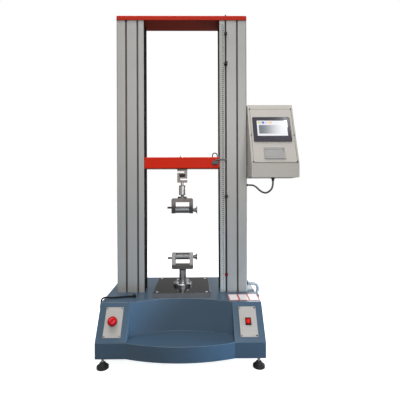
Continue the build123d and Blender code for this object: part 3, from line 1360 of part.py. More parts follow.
# Panel printer: a frame with a paper bay behind its door, and a feed button beside the door
printer_plane = plate_front.shift_origin(plate_front.from_local_coords((PRINTER_X, PRINTER_Y)))
with BuildPart() as printer_body:
    with BuildSketch(printer_plane):
        RectangleRounded(PRINTER_WIDTH, PRINTER_HEIGHT, PRINTER_ROUND)
    extrude(amount=PRINTER_PROUD)
    with BuildSketch(printer_plane):
        Rectangle(printer_back_width, printer_back_height)
    extrude(amount=-PRINTER_BACK_DEPTH)
    with BuildSketch(printer_plane.offset(PRINTER_PROUD)):
        with Locations((DOOR_X, 0)):
            Rectangle(DOOR_WIDTH + 2 * SLIDE_GAP, DOOR_HEIGHT + 2 * SLIDE_GAP)
    extrude(amount=PRINTER_WALL - PRINTER_BACK_DEPTH - PRINTER_PROUD, mode=Mode.SUBTRACT)
    with BuildSketch(printer_plane.offset(PRINTER_PROUD)):
        with Locations((BUTTON_X, BUTTON_Y)):
            Circle(BUTTON_RADIUS + SLIDE_GAP)
    extrude(amount=-BUTTON_HOLE, mode=Mode.SUBTRACT)
printer_body.part.label = "printer_body"
export_step(printer_body.part, "parts/printer_body.step")

# The door turns on the barrel along its lower edge
barrel_y = DOOR_BARREL_RADIUS - DOOR_HEIGHT / 2
with BuildPart() as printer_door:
    with BuildSketch(printer_plane.offset(PRINTER_PROUD - DOOR_THICKNESS)):
        with Locations((DOOR_X, DOOR_BARREL_RADIUS / 2)):
            Rectangle(DOOR_WIDTH, DOOR_HEIGHT - DOOR_BARREL_RADIUS)
    extrude(amount=DOOR_THICKNESS)
    barrel_end = printer_plane.from_local_coords(
        (DOOR_X - DOOR_WIDTH / 2, barrel_y, PRINTER_PROUD - DOOR_THICKNESS / 2)
    )
    with BuildSketch(Plane(barrel_end, z_dir=(1, 0, 0))):
        Circle(DOOR_BARREL_RADIUS)
    extrude(amount=DOOR_WIDTH)
printer_door.part.label = "printer_door"
export_step(printer_door.part, "parts/printer_door.step")

with BuildPart() as printer_button:
    with BuildSketch(printer_plane.offset(PRINTER_PROUD - BUTTON_SUNK)):
        with Locations((BUTTON_X, BUTTON_Y)):
            Circle(BUTTON_RADIUS)
    extrude(amount=BUTTON_SUNK + BUTTON_PROUD)
printer_button.part.label = "printer_button"
export_step(printer_button.part, "parts/printer_button.step")

# Bracket bar that carries the console on the side of the right column
with BuildPart() as console_bracket:
    with BuildSketch(Plane.YZ.offset(column_outer)):
        with Locations((CONSOLE_BACK_Y - BRACKET_DEPTH / 2, console_bottom + BRACKET_BOTTOM + BRACKET_HEIGHT / 2)):
            RectangleRounded(BRACKET_DEPTH, BRACKET_HEIGHT, CONSOLE_ROUND)
    extrude(amount=CONSOLE_GAP)
console_bracket.part.label = "console_bracket"
export_step(console_bracket.part, "parts/console_bracket.step")

# Routes of the three cables, each from the mouth of one gland to the mouth of the next
CONSOLE_CABLE_ROUTE = [
    (440, -60, 808),
    (440, -60, 787),
    (434, -51, 764),
    (413, -33, 747),
    (392, -10, 756),
    (377, 18, 777),
    (366, 40, 788),
    (352, 52, 790),
    (336, 52, 790),
]
CONDUIT_ROUTE = [
    (336, 55, 280),
    (354, 55, 280),
    (374, 59, 279),
    (389, 66, 266),
    (392, 70, 248),
    (387, 72, 231),
    (387, 72, 217),
]
DECK_LEAD_ROUTE = [
    (-232, -86, 264.3),
    (-254, -86, 264.3),
    (-281, -92, 264.3),
    (-309, -101, 264.3),
    (-334, -107, 265.5),
    (-354, -111, 269),
    (-368, -113, 264),
    (-372, -114, 250),
    (-372, -114, 236),
]


# Glands: a hexagon on the wall and a round cap that the cable comes out of
def gland(wall_plane, cable_radius):
    with BuildPart() as body:
        with BuildSketch(wall_plane):
            RegularPolygon(cable_radius + GLAND_WALL, 6, major_radius=False)
        extrude(amount=GLAND_NUT)
        with BuildSketch(wall_plane.offset(GLAND_NUT)):
            Circle(cable_radius + GLAND_WALL / 2)
        extrude(amount=GLAND_LENGTH - GLAND_NUT)
    return body.part


# Each gland sits on its wall, in line with the end of its cable
def wall_gland(end, outward, cable_radius):
    mouth = Plane(end, z_dir=outward)
    return gland(mouth.offset(-GLAND_LENGTH), cable_radius)


# Elbows on the sides of the base: the cable comes down into an upright cap on a stub from the wall
def elbow_gland(end, cable_radius):
    x, y, z = end
    cap_radius = cable_radius + GLAND_WALL / 2
    outward = 1 if x > 0 else -1
    with BuildPart() as body:
        with BuildSketch(Plane(end, z_dir=(0, 0, -1))):
            Circle(cap_radius)
        extrude(amount=GLAND_LENGTH + 2 * cap_radius)
        with BuildSketch(Plane((outward * half_width, y, z - GLAND_LENGTH - cap_radius), z_dir=(outward, 0, 0))):
            Circle(cap_radius)
        extrude(amount=abs(x) - half_width)
    return body.part


elbow_x, elbow_y, elbow_z = DECK_LEAD_ROUTE[0]
glands = [
    wall_gland(CONSOLE_CABLE_ROUTE[0], (0, 0, -1), CONSOLE_CABLE_RADIUS),
    wall_gland(CONSOLE_CABLE_ROUTE[-1], (1, 0, 0), CONSOLE_CABLE_RADIUS),
    wall_gland(CONDUIT_ROUTE[0], (1, 0, 0), CONDUIT_RADIUS),
    elbow_gland(CONDUIT_ROUTE[-1], CONDUIT_RADIUS),
    elbow_gland(DECK_LEAD_ROUTE[-1], DECK_LEAD_RADIUS),
]
with BuildPart() as cable_glands:
    add(glands)
    # Low elbow on the deck that the black lead comes out of
    with BuildSketch(Plane.XY.offset(deck)):
        with Locations((elbow_x + ELBOW_LENGTH / 2, elbow_y)):
            RectangleRounded(ELBOW_LENGTH, ELBOW_WIDTH, EDGE_ROUND)
    extrude(amount=ELBOW_HEIGHT)
    crown = cable_glands.faces().filter_by(Axis.Z).filter_by(
        lambda face: abs(face.center().Z - deck - ELBOW_HEIGHT) < SEAT_GAP
    )
    fillet(crown.edges(), radius=EDGE_ROUND)
cable_glands.part.label = "cable_glands"
export_step(cable_glands.part, "parts/cable_glands.step")


# Cables: straight runs joined by arcs as large as the runs allow
def cable_tube(name, route, radius):
    points = [Vector(*point) for point in route]
    radii = []
    for before, corner, after in zip(points, points[1:], points[2:]):
        run = min((corner - before).length, (after - corner).length)
        turn = (corner - before).get_angle(after - corner)
        radii.append(0.45 * run / tan(radians(turn / 2)))
    with BuildPart() as tube:
        with BuildLine() as path:
            FilletPolyline(*points, radius=radii)
        with BuildSketch(Plane(points[0], z_dir=points[1] - points[0])):
            Circle(radius)
        sweep(path=path.line)
    length = sum(edge.length for edge in path.line.edges())
    share = tube.part.volume / (pi * radius**2 * length)
    print(name, "length", round(length, 1), "bend radii", [round(r, 1) for r in radii])
    print(name, "volume over section times length", round(share, 4))
    return tube.part


for name, route, radius in (
    ("console_cable", CONSOLE_CABLE_ROUTE, CONSOLE_CABLE_RADIUS),
    ("conduit", CONDUIT_ROUTE, CONDUIT_RADIUS),
    ("deck_lead", DECK_LEAD_ROUTE, DECK_LEAD_RADIUS),
):
    tube = cable_tube(name, route, radius)
    with BuildPart() as cable:
        add(tube)
    cable.part.label = name
    export_step(cable.part, f"parts/{name}.step")
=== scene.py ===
import math

import bpy
from mathutils import Matrix, Vector


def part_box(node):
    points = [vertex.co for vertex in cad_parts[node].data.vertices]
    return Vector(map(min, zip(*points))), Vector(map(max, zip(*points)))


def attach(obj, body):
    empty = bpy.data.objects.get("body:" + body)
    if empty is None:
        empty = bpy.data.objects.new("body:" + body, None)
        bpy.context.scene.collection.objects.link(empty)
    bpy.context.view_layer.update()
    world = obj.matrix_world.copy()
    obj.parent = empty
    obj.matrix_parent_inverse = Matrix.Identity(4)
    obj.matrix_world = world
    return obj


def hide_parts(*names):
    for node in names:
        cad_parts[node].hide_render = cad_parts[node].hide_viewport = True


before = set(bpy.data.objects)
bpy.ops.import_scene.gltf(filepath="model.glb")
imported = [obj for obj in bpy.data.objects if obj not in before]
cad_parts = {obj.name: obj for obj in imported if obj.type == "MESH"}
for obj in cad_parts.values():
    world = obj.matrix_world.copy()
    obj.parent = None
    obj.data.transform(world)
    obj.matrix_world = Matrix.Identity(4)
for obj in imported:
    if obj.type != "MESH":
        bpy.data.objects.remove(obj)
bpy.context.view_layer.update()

# Levelling feet: four moulded rubber pads on zinc-plated studs.
# Each stud goes up through the floor plate of the base and is locked by a nut on each side of it.


def chart(red, green, blue):
    """A colour as a paint chart gives it, 0 to 255, as the share of light that comes back."""
    shares = []
    for level in (red / 255, green / 255, blue / 255):
        shares.append(level / 12.92 if level <= 0.04045 else ((level + 0.055) / 1.055) ** 2.4)
    return (*shares, 1.0)


def start_group(name, inputs, outputs):
    tree = bpy.data.node_groups.new(name, "ShaderNodeTree")
    for label, kind, value in inputs:
        socket = tree.interface.new_socket(label, in_out="INPUT", socket_type=kind)
        socket.default_value = value
    for label, kind in outputs:
        tree.interface.new_socket(label, in_out="OUTPUT", socket_type=kind)
    return tree, tree.nodes.new("NodeGroupInput"), tree.nodes.new("NodeGroupOutput")


def math_node(tree, operation, first, second):
    node = tree.nodes.new("ShaderNodeMath")
    node.operation = operation
    for socket, value in zip(node.inputs, (first, second)):
        if isinstance(value, (int, float)):
            socket.default_value = value
        else:
            tree.links.new(value, socket)
    return node.outputs[0]


def add_soft_edge(tree, radius):
    """A rounded normal at sharp edges, and a mask that is 1 on those that stand out, not in corners."""
    bevel = tree.nodes.new("ShaderNodeBevel")
    bevel.samples = 6
    tree.links.new(radius, bevel.inputs["Radius"])
    surface = tree.nodes.new("ShaderNodeNewGeometry")
    turn = tree.nodes.new("ShaderNodeVectorMath")
    turn.operation = "DOT_PRODUCT"
    tree.links.new(bevel.outputs["Normal"], turn.inputs[0])
    tree.links.new(surface.outputs["Normal"], turn.inputs[1])
    mask = tree.nodes.new("ShaderNodeMapRange")
    mask.inputs["From Min"].default_value = 0.995
    mask.inputs["From Max"].default_value = 0.8
    tree.links.new(turn.outputs["Value"], mask.inputs["Value"])
    reach = tree.nodes.new("ShaderNodeAmbientOcclusion")
    reach.samples = 8
    reach.only_local = True
    reach.inputs["Distance"].default_value = 0.008
    exposed = tree.nodes.new("ShaderNodeMapRange")
    exposed.inputs["From Min"].default_value = 0.85
    exposed.inputs["From Max"].default_value = 1.0
    tree.links.new(reach.outputs["AO"], exposed.inputs["Value"])
    worn = math_node(tree, "MULTIPLY", mask.outputs["Result"], exposed.outputs["Result"])
    return bevel.outputs["Normal"], worn


def add_noise(tree, vector, scale, detail):
    noise = tree.nodes.new("ShaderNodeTexNoise")
    noise.inputs["Detail"].default_value = detail
    tree.links.new(vector, noise.inputs["Vector"])
    if isinstance(scale, (int, float)):
        noise.inputs["Scale"].default_value = scale
    else:
        tree.links.new(scale, noise.inputs["Scale"])
    return noise.outputs["Fac"]


coat, given, made = start_group(
    "sprayed_or_moulded_surface",
    (
        ("Colour", "NodeSocketColor", (0.5, 0.5, 0.5, 1)),
        ("Edge Colour", "NodeSocketColor", (0.6, 0.6, 0.6, 1)),
        ("Edge Wear", "NodeSocketFloat", 0.2),
        ("Roughness", "NodeSocketFloat", 0.5),
        ("Mottle", "NodeSocketFloat", 0.05),
        ("Grain Scale", "NodeSocketFloat", 600.0),
        ("Grain Height", "NodeSocketFloat", 0.00003),
        ("Edge Radius", "NodeSocketFloat", 0.0008),
    ),
    (("Colour", "NodeSocketColor"), ("Roughness", "NodeSocketFloat"), ("Normal", "NodeSocketVector")),
)
place = coat.nodes.new("ShaderNodeTexCoord").outputs["Object"]
grain = add_noise(coat, place, scale=given.outputs["Grain Scale"], detail=2.0)
clouds = add_noise(coat, place, scale=7.0, detail=4.0)
edge_normal, edge_mask = add_soft_edge(coat, given.outputs["Edge Radius"])
tone = coat.nodes.new("ShaderNodeHueSaturation")
swing = math_node(coat, "MULTIPLY", math_node(coat, "SUBTRACT", clouds, 0.5), 4.0)
mottled = math_node(coat, "MULTIPLY", swing, given.outputs["Mottle"])
coat.links.new(math_node(coat, "ADD", mottled, 1.0), tone.inputs["Value"])
coat.links.new(given.outputs["Colour"], tone.inputs["Color"])
rubbed = coat.nodes.new("ShaderNodeMix")
rubbed.data_type = "RGBA"
patches = math_node(coat, "ADD", add_noise(coat, place, scale=60.0, detail=3.0), 0.3)
patchy = math_node(coat, "MULTIPLY", edge_mask, patches)
coat.links.new(math_node(coat, "MULTIPLY", patchy, given.outputs["Edge Wear"]), rubbed.inputs["Factor"])
coat.links.new(tone.outputs["Color"], rubbed.inputs["A"])
coat.links.new(given.outputs["Edge Colour"], rubbed.inputs["B"])
coat.links.new(rubbed.outputs["Result"], made.inputs["Colour"])
sheen = math_node(coat, "MULTIPLY", math_node(coat, "SUBTRACT", clouds, 0.5), 0.03)
coat.links.new(math_node(coat, "ADD", given.outputs["Roughness"], sheen), made.inputs["Roughness"])
relief = coat.nodes.new("ShaderNodeBump")
coat.links.new(given.outputs["Grain Height"], relief.inputs["Distance"])
coat.links.new(grain, relief.inputs["Height"])
coat.links.new(edge_normal, relief.inputs["Normal"])
coat.links.new(relief.outputs["Normal"], made.inputs["Normal"])

brushed, given, made = start_group(
    "machined_metal_surface",
    (
        ("Colour", "NodeSocketColor", (0.5, 0.5, 0.5, 1)),
        ("Roughness", "NodeSocketFloat", 0.35),
        ("Streaks", "NodeSocketVector", (400, 400, 4)),
        ("Contrast", "NodeSocketFloat", 0.1),
        ("Streak Depth", "NodeSocketFloat", 0.00002),
        ("Edge Radius", "NodeSocketFloat", 0.0006),
    ),
    (("Colour", "NodeSocketColor"), ("Roughness", "NodeSocketFloat"), ("Normal", "NodeSocketVector")),
)
place = brushed.nodes.new("ShaderNodeTexCoord").outputs["Object"]
stretch = brushed.nodes.new("ShaderNodeVectorMath")
stretch.operation = "MULTIPLY"
brushed.links.new(place, stretch.inputs[0])
brushed.links.new(given.outputs["Streaks"], stretch.inputs[1])
streak = add_noise(brushed, stretch.outputs["Vector"], scale=1.0, detail=3.0)
clouds = add_noise(brushed, place, scale=9.0, detail=4.0)
edge_normal, edge_mask = add_soft_edge(brushed, given.outputs["Edge Radius"])
both = math_node(brushed, "SUBTRACT", math_node(brushed, "ADD", streak, clouds), 1.0)
swing = math_node(brushed, "MULTIPLY", both, given.outputs["Contrast"])
lift = math_node(brushed, "MULTIPLY", edge_mask, 0.25)
tone = brushed.nodes.new("ShaderNodeHueSaturation")
streaked = math_node(brushed, "ADD", math_node(brushed, "MULTIPLY", swing, 3.0), 1.0)
brushed.links.new(math_node(brushed, "ADD", streaked, lift), tone.inputs["Value"])
brushed.links.new(given.outputs["Colour"], tone.inputs["Color"])
brushed.links.new(tone.outputs["Color"], made.inputs["Colour"])
brushed.links.new(math_node(brushed, "ADD", given.outputs["Roughness"], swing), made.inputs["Roughness"])
relief = brushed.nodes.new("ShaderNodeBump")
brushed.links.new(given.outputs["Streak Depth"], relief.inputs["Distance"])
brushed.links.new(streak, relief.inputs["Height"])
brushed.links.new(edge_normal, relief.inputs["Normal"])
brushed.links.new(relief.outputs["Normal"], made.inputs["Normal"])


def finish_material(name, group, settings, shader_values):
    material = bpy.data.materials.new(name)
    material.use_nodes = True
    tree = material.node_tree
    shader = tree.nodes["Principled BSDF"]
    surface = tree.nodes.new("ShaderNodeGroup")
    surface.name = "surface"
    surface.node_tree = group
    for label, value in settings.items():
        surface.inputs[label].default_value = value
    tree.links.new(surface.outputs["Colour"], shader.inputs["Base Color"])
    tree.links.new(surface.outputs["Roughness"], shader.inputs["Roughness"])
    tree.links.new(surface.outputs["Normal"], shader.inputs["Normal"])
    for label, value in shader_values.items():
        shader.inputs[label].default_value = value
    return material


def as_inputs(settings):
    """Keywords such as edge_wear, under the names that the group's inputs have."""
    return {label.replace("_", " ").title(): value for label, value in settings.items()}


def coated(name, colour, roughness, shader_values=None, **settings):
    values = {"Colour": colour, "Edge Colour": colour, "Roughness": roughness}
    values.update(as_inputs(settings))
    return finish_material(name, coat, values, shader_values or {})


def machined(name, colour, roughness, streaks, shader_values=None, **settings):
    values = {"Colour": colour, "Roughness": roughness, "Streaks": streaks}
    values.update(as_inputs(settings))
    shine = {"Metallic": 1.0}
    shine.update(shader_values or {})
    return finish_material(name, brushed, values, shine)


def dress(material, *names):
    for name in names:
        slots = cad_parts[name].data.materials
        slots.clear()
        slots.append(material)


pad_rubber = coated(
    "pad_rubber",
    chart(24, 23, 24),
    0.62,
    edge_colour=chart(66, 64, 62),
    edge_wear=0.5,
    grain_scale=900.0,
    grain_height=0.00008,
)
dress(pad_rubber, "foot_pads")
zinc = machined("zinc_plate", chart(150, 148, 142), 0.34, (60, 60, 900), contrast=0.12)
dress(zinc, "foot_studs")

# Frame and drive inside the base: welded plates and tubes in dark primer, a motor, a toothed belt,
# and two ground screws that run in bearings in the base plate and the top beam.
primer = coated("dark_primer", chart(66, 70, 74), 0.6, grain_scale=350.0, grain_height=0.00006, mottle=0.08)
dress(primer, "base_frame", "drive_motor")
belt_rubber = coated("belt_rubber", chart(22, 22, 23), 0.7, grain_scale=1200.0, grain_height=0.0001)
dress(belt_rubber, "drive_belt")
ground_steel = machined("ground_steel", chart(186, 184, 180), 0.22, (30, 30, 500), contrast=0.1)
dress(ground_steel, "left_screw", "right_screw", "guide_rods", "screw_bearings", "carriage_bearings")
mill_aluminium = machined("mill_aluminium", chart(178, 178, 178), 0.4, (500, 500, 20), contrast=0.12)
dress(mill_aluminium, "motor_pulley", "carriages")

# Base housing: folded and welded sheet steel with a scooped tray between two sloping pods.
# It is sprayed with a fine-textured blue-grey powder coat that is lighter along the folds, partly as rubbed
# wear and partly as painted highlight.
blue_coat = coated(
    "blue_grey_coat",
    chart(60, 80, 97),
    0.28,
    {"Specular IOR Level": 0.36},
    # The pale edge colour is partly rubbed wear and partly a painted highlight along the folds.
    edge_colour=chart(138, 164, 184),
    edge_wear=0.75,
    grain_scale=420.0,
    grain_height=0.00005,
    edge_radius=0.0028,
    mottle=0.04,
)
dress(blue_coat, "base_housing", "rear_cover")

# Plates at the right of the deck: three blank cards of white enamel with a red border.
# Each is thin sheet, cut with rounded corners and glued flat beside its neighbour.
PLATE_COUNT = 3
PLATE_LEFT = 0.2195
PLATE_WIDTH = 0.0462
PLATE_FRONT = -0.137
PLATE_DEPTH = 0.083
PLATE_THICKNESS = 0.0006
PLATE_BORDER = 0.0036
PLATE_GAP = 0.0006
PLATE_CORNER = 0.003
deck_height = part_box("base_housing")[1].z


def start_piece(name, add_primitive, **options):
    bpy.ops.object.select_all(action="DESELECT")
    add_primitive(**options)
    piece = bpy.context.object
    piece.name = name
    piece.data.name = name
    return piece


def settle(piece):
    """Puts the piece's place, turn and size into its mesh, with the object at the origin."""
    bpy.ops.object.select_all(action="DESELECT")
    piece.select_set(True)
    bpy.context.view_layer.objects.active = piece
    bpy.ops.object.transform_apply(location=True, rotation=True, scale=True)


def use_modifier(piece, kind, **values):
    modifier = piece.modifiers.new(kind.lower(), kind)
    for label, value in values.items():
        setattr(modifier, label, value)
    bpy.context.view_layer.objects.active = piece
    bpy.ops.object.modifier_apply(modifier=modifier.name)


def copy_piece(piece, name):
    twin = piece.copy()
    twin.data = piece.data.copy()
    twin.name = name
    twin.data.name = name
    bpy.context.collection.objects.link(twin)
    return twin


white_enamel = coated("white_enamel", chart(216, 214, 214), 0.3, grain_height=0.00001, mottle=0.02)
red_border = coated("red_border", chart(200, 58, 58), 0.35, grain_height=0.00001, mottle=0.03)
card = start_piece("deck_plate", bpy.ops.mesh.primitive_plane_add, size=1.0)
card.scale = (PLATE_WIDTH - PLATE_GAP, PLATE_DEPTH, 1.0)
settle(card)
bpy.ops.object.mode_set(mode="EDIT")
bpy.ops.mesh.select_all(action="SELECT")
bpy.ops.mesh.bevel(offset=PLATE_CORNER, segments=4, affect="VERTICES")
bpy.ops.mesh.inset(thickness=PLATE_BORDER, depth=0.0)
bpy.ops.object.mode_set(mode="OBJECT")
card.data.materials.append(red_border)
card.data.materials.append(white_enamel)
for face in card.data.polygons:
    face.material_index = 1 if face.select else 0
use_modifier(card, "SOLIDIFY", thickness=PLATE_THICKNESS, offset=1.0)
for number in range(PLATE_COUNT):
    plate = copy_piece(card, f"deck_plate_{number + 1}")
    plate.location = (
        PLATE_LEFT + PLATE_WIDTH * (number + 0.5),
        PLATE_FRONT + PLATE_DEPTH / 2,
        deck_height,
    )
    settle(plate)
    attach(plate, "frame")
bpy.data.objects.remove(card)

# Control panels on the pods: plain sheets of satin aluminium, brushed across.
# Each lies flat on its slope and is held by a screw in every corner.
pod_aluminium = machined(
    "pod_aluminium",
    chart(162, 156, 149),
    0.5,
    (8, 500, 500),
    {"Metallic": 0.15},
    contrast=0.05,
)
dress(pod_aluminium, "pod_panels")

# Screws of the panels and covers: pan heads with a cross recess, modelled once and copied.
# Eight zinc-plated ones hold the pod panels, six blackened ones the console's face,
# and eight more in zinc hold the rear cover.
HEAD_RADIUS = 0.0035
HEAD_HEIGHT = 0.0018
HEAD_ROUNDING = HEAD_HEIGHT * 0.7
RECESS_LENGTH = HEAD_RADIUS * 1.1
RECESS_WIDTH = HEAD_RADIUS * 0.26
RECESS_MIDDLE = HEAD_HEIGHT * 0.6
HEAD_TURN = 0.7
PANEL_THICKNESS = 0.002
POD_SCREW_ACROSS = 0.032
POD_SCREW_UP = 0.057
FACE_SCREW_ACROSS = 0.1015
FACE_SCREW_ROWS = (-0.15221, -0.01325, 0.13371)
CONSOLE_LEFT = 0.32
REAR_COVER_BACK = 0.252
REAR_SCREW_COLUMNS = (-0.29, -0.1, 0.1, 0.29)
REAR_SCREW_ROWS = (0.0925, 0.2225)
screw_black = machined("screw_black", chart(58, 57, 56), 0.4, (300, 300, 300), contrast=0.1)
screw_zinc = machined("screw_zinc", chart(120, 118, 114), 0.32, (300, 300, 300), contrast=0.1)


def model_pan_head():
    head = start_piece(
        "pan_head",
        bpy.ops.mesh.primitive_cylinder_add,
        vertices=24,
        radius=HEAD_RADIUS,
        depth=HEAD_HEIGHT,
    )
    bpy.ops.object.mode_set(mode="EDIT")
    bpy.ops.mesh.select_all(action="DESELECT")
    bpy.ops.object.mode_set(mode="OBJECT")
    for edge in head.data.edges:
        edge.select = all(head.data.vertices[v].co.z > 0 for v in edge.vertices)
    bpy.ops.object.mode_set(mode="EDIT")
    bpy.ops.mesh.select_mode(type="EDGE")
    bpy.ops.mesh.bevel(offset=HEAD_ROUNDING, segments=4)
    bpy.ops.object.mode_set(mode="OBJECT")
    for turn in (0.0, math.pi / 2):
        cutter = start_piece("recess_cutter", bpy.ops.mesh.primitive_cube_add, size=1.0)
        cutter.scale = (RECESS_LENGTH, RECESS_WIDTH, HEAD_HEIGHT)
        cutter.location = (0, 0, RECESS_MIDDLE)
        cutter.rotation_euler = (0, 0, turn)
        settle(cutter)
        use_modifier(head, "BOOLEAN", operation="DIFFERENCE", solver="EXACT", object=cutter)
        bpy.data.objects.remove(cutter)
    return head


def plane_matrix(origin, across, up):
    """The place of a sheet: its origin, its own X and its own Y, with its normal as Z."""
    normal = across.cross(up)
    return Matrix.Translation(origin) @ Matrix((across, up, normal)).transposed().to_4x4()


def set_screws(name, head, spots):
    heads = []
    for number, spot in enumerate(spots):
        twin = copy_piece(head, f"{name}_{number}")
        turn = Matrix.Rotation(HEAD_TURN * number, 4, "Z")
        twin.data.transform(spot @ turn @ Matrix.Translation((0, 0, HEAD_HEIGHT / 2)))
        heads.append(twin)
    bpy.ops.object.select_all(action="DESELECT")
    for twin in heads:
        twin.select_set(True)
    bpy.context.view_layer.objects.active = heads[0]
    bpy.ops.object.join()
    row = bpy.context.object
    row.name = name
    row.data.materials.clear()
    row.data.materials.append(screw_zinc)
    row.data.materials.append(screw_black)
    for face in row.data.polygons:
        face.material_index = 1 if face.center.x > CONSOLE_LEFT else 0
    bpy.ops.object.shade_smooth_by_angle(angle=0.6)
    return row


POD_NORMAL = Vector((0, -0.8293, 0.5589)).normalized()
POD_UP = Vector((0, 0.5589, 0.8293)).normalized()
FACE_NORMAL = Vector((0, -0.93568, 0.352849)).normalized()
FACE_UP = Vector((0, 0.352849, 0.93568)).normalized()
RIGHT = Vector((1, 0, 0))
LEFT = Vector((-1, 0, 0))
UP = Vector((0, 0, 1))
pod_left = Vector((-0.293, -0.2035, 0.191))
pod_right = Vector((0.293, -0.2035, 0.191))
face_middle = Vector((0.435, -0.073, 1.0365))
spots = []
for pod in (pod_left, pod_right):
    for x in (-POD_SCREW_ACROSS, POD_SCREW_ACROSS):
        for y in (-POD_SCREW_UP, POD_SCREW_UP):
            place = pod + RIGHT * x + POD_UP * y + POD_NORMAL * PANEL_THICKNESS
            spots.append(plane_matrix(place, RIGHT, POD_UP))
for x in (-FACE_SCREW_ACROSS, FACE_SCREW_ACROSS):
    for y in FACE_SCREW_ROWS:
        place = face_middle + RIGHT * x + FACE_UP * y + FACE_NORMAL * PANEL_THICKNESS
        spots.append(plane_matrix(place, RIGHT, FACE_UP))
pan_head = model_pan_head()
panel_heads = set_screws("panel_screw_heads", pan_head, spots)
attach(panel_heads, "frame")
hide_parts("panel_screws")
rear_spots = []
for x in REAR_SCREW_COLUMNS:
    for z in REAR_SCREW_ROWS:
        rear_spots.append(plane_matrix(Vector((x, REAR_COVER_BACK, z)), LEFT, UP))
rear_heads = set_screws("rear_cover_screws", pan_head, rear_spots)
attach(rear_heads, "frame")
bpy.data.objects.remove(pan_head)

# Emergency stop: a red mushroom head on a grey stem, in a black collar.
# Two arrows moulded on the crown show the turn that releases it.
ARROW_RADIUS = 0.0094
ARROW_WIDTH = 0.0032
ARROW_HEIGHT = 0.0004
ARROW_SWEEP = math.radians(100)
ARROW_START = 0.0001
TIP_RADIUS = 0.0042
TIP_LEAD = 0.0012
CROWN_HEIGHT = 0.0315
black_plastic = coated(
    "black_plastic",
    chart(17, 17, 19),
    0.48,
    {"Specular IOR Level": 0.3},
    edge_colour=chart(50, 50, 52),
    edge_wear=0.3,
    grain_scale=900.0,
)
red_plastic = coated(
    "red_plastic",
    chart(178, 14, 22),
    0.4,
    {"Specular IOR Level": 0.1},
    grain_height=0.00001,
    mottle=0.03,
)
rim_shade_red_plastic = coated(
    "rim_shade_red_plastic",
    chart(132, 14, 22),
    0.5,
    {"Specular IOR Level": 0.15},
    grain_height=0.00001,
)
grey_plastic = coated("grey_plastic", chart(84, 84, 88), 0.5, grain_scale=800.0)


def dress_faces(material, name, is_wanted):
    """Gives the faces of a node that pass the test one more material."""
    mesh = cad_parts[name].data
    mesh.materials.append(material)
    for face in mesh.polygons:
        if is_wanted(face):
            face.material_index = len(mesh.materials) - 1


dress(black_plastic, "estop_collar")
dress(red_plastic, "estop_head")
# Painted shade: the faces of the head that turn away from the front get a darker red.
dress_faces(rim_shade_red_plastic, "estop_head", lambda face: abs(face.normal.dot(POD_NORMAL)) < 0.8)
dress(grey_plastic, "estop_stem")
arrow_pink = coated("arrow_pink", chart(208, 74, 78), 0.4, grain_height=0.00001)
arrows = start_piece("estop_arrows", bpy.ops.mesh.primitive_plane_add, size=1.0)
arrows.scale = (ARROW_WIDTH, ARROW_START, 1)
arrows.location = (ARROW_RADIUS, 0, 0)
settle(arrows)
bpy.ops.object.mode_set(mode="EDIT")
bpy.ops.mesh.select_all(action="SELECT")
bpy.ops.mesh.spin(steps=12, angle=ARROW_SWEEP, center=(0, 0, 0), axis=(0, 0, 1))
bpy.ops.object.mode_set(mode="OBJECT")
tip = start_piece(
    "estop_arrow_tip",
    bpy.ops.mesh.primitive_circle_add,
    vertices=3,
    radius=TIP_RADIUS,
    fill_type="NGON",
)
tip.location = (ARROW_RADIUS, -TIP_LEAD, 0)
tip.rotation_euler = (0, 0, math.pi)
settle(tip)
arrows.select_set(True)
bpy.context.view_layer.objects.active = arrows
bpy.ops.object.join()
bpy.ops.object.mode_set(mode="EDIT")
bpy.ops.mesh.select_all(action="SELECT")
bpy.ops.mesh.duplicate()
bpy.ops.transform.rotate(value=math.pi, orient_axis="Z", center_override=(0, 0, 0))
bpy.ops.mesh.select_all(action="SELECT")
bpy.ops.mesh.remove_doubles(threshold=0.00001)
bpy.ops.mesh.normals_make_consistent(inside=False)
bpy.ops.object.mode_set(mode="OBJECT")
use_modifier(arrows, "SOLIDIFY", thickness=ARROW_HEIGHT, offset=1.0)
arrows.data.transform(plane_matrix(pod_left + POD_NORMAL * CROWN_HEIGHT, RIGHT, POD_UP))
arrows.data.materials.append(arrow_pink)
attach(arrows, "estop_head")

# Power switch: a red translucent rocker with a lamp behind it, in a black bezel.
# The plain bar and ring of an on-off switch are moulded on its two ends.
ROCKER_TILT = math.radians(-8)
ROCKER_END_LEAN = math.radians(11)
LAMP_HEIGHT = 0.004
LAMP_NEAR = 0.001
LAMP_FAR = 0.010
RING_RADIUS = 0.0021
RING_WIRE = 0.0004
RING_FLATNESS = 0.5
BAR_SIZE = (0.0008, 0.0046, 0.0004)
BAR_ROUNDING = 0.00018
SIGN_REACH = 0.0062
SIGN_HEIGHT = 0.00565
rocker_along = Matrix.Rotation(ROCKER_TILT, 3, "X") @ POD_UP
rocker_out = RIGHT.cross(rocker_along)
rocker_pivot = pod_right + POD_NORMAL * PANEL_THICKNESS
lamp_red = coated("lamp_red", chart(158, 9, 7), 0.5, {"Specular IOR Level": 0.08}, grain_height=0.00001)
lamp_tree = lamp_red.node_tree
lamp_shader = lamp_tree.nodes["Principled BSDF"]
lamp_shader.inputs["Emission Strength"].default_value = 1.0
lamp_place = lamp_tree.nodes.new("ShaderNodeTexCoord")
from_lamp = lamp_tree.nodes.new("ShaderNodeVectorMath")
from_lamp.operation = "DISTANCE"
from_lamp.inputs[1].default_value = rocker_pivot + rocker_out * LAMP_HEIGHT
lamp_tree.links.new(lamp_place.outputs["Object"], from_lamp.inputs[0])
lamp_share = lamp_tree.nodes.new("ShaderNodeMapRange")
lamp_share.inputs["From Min"].default_value = LAMP_NEAR
lamp_share.inputs["From Max"].default_value = LAMP_FAR
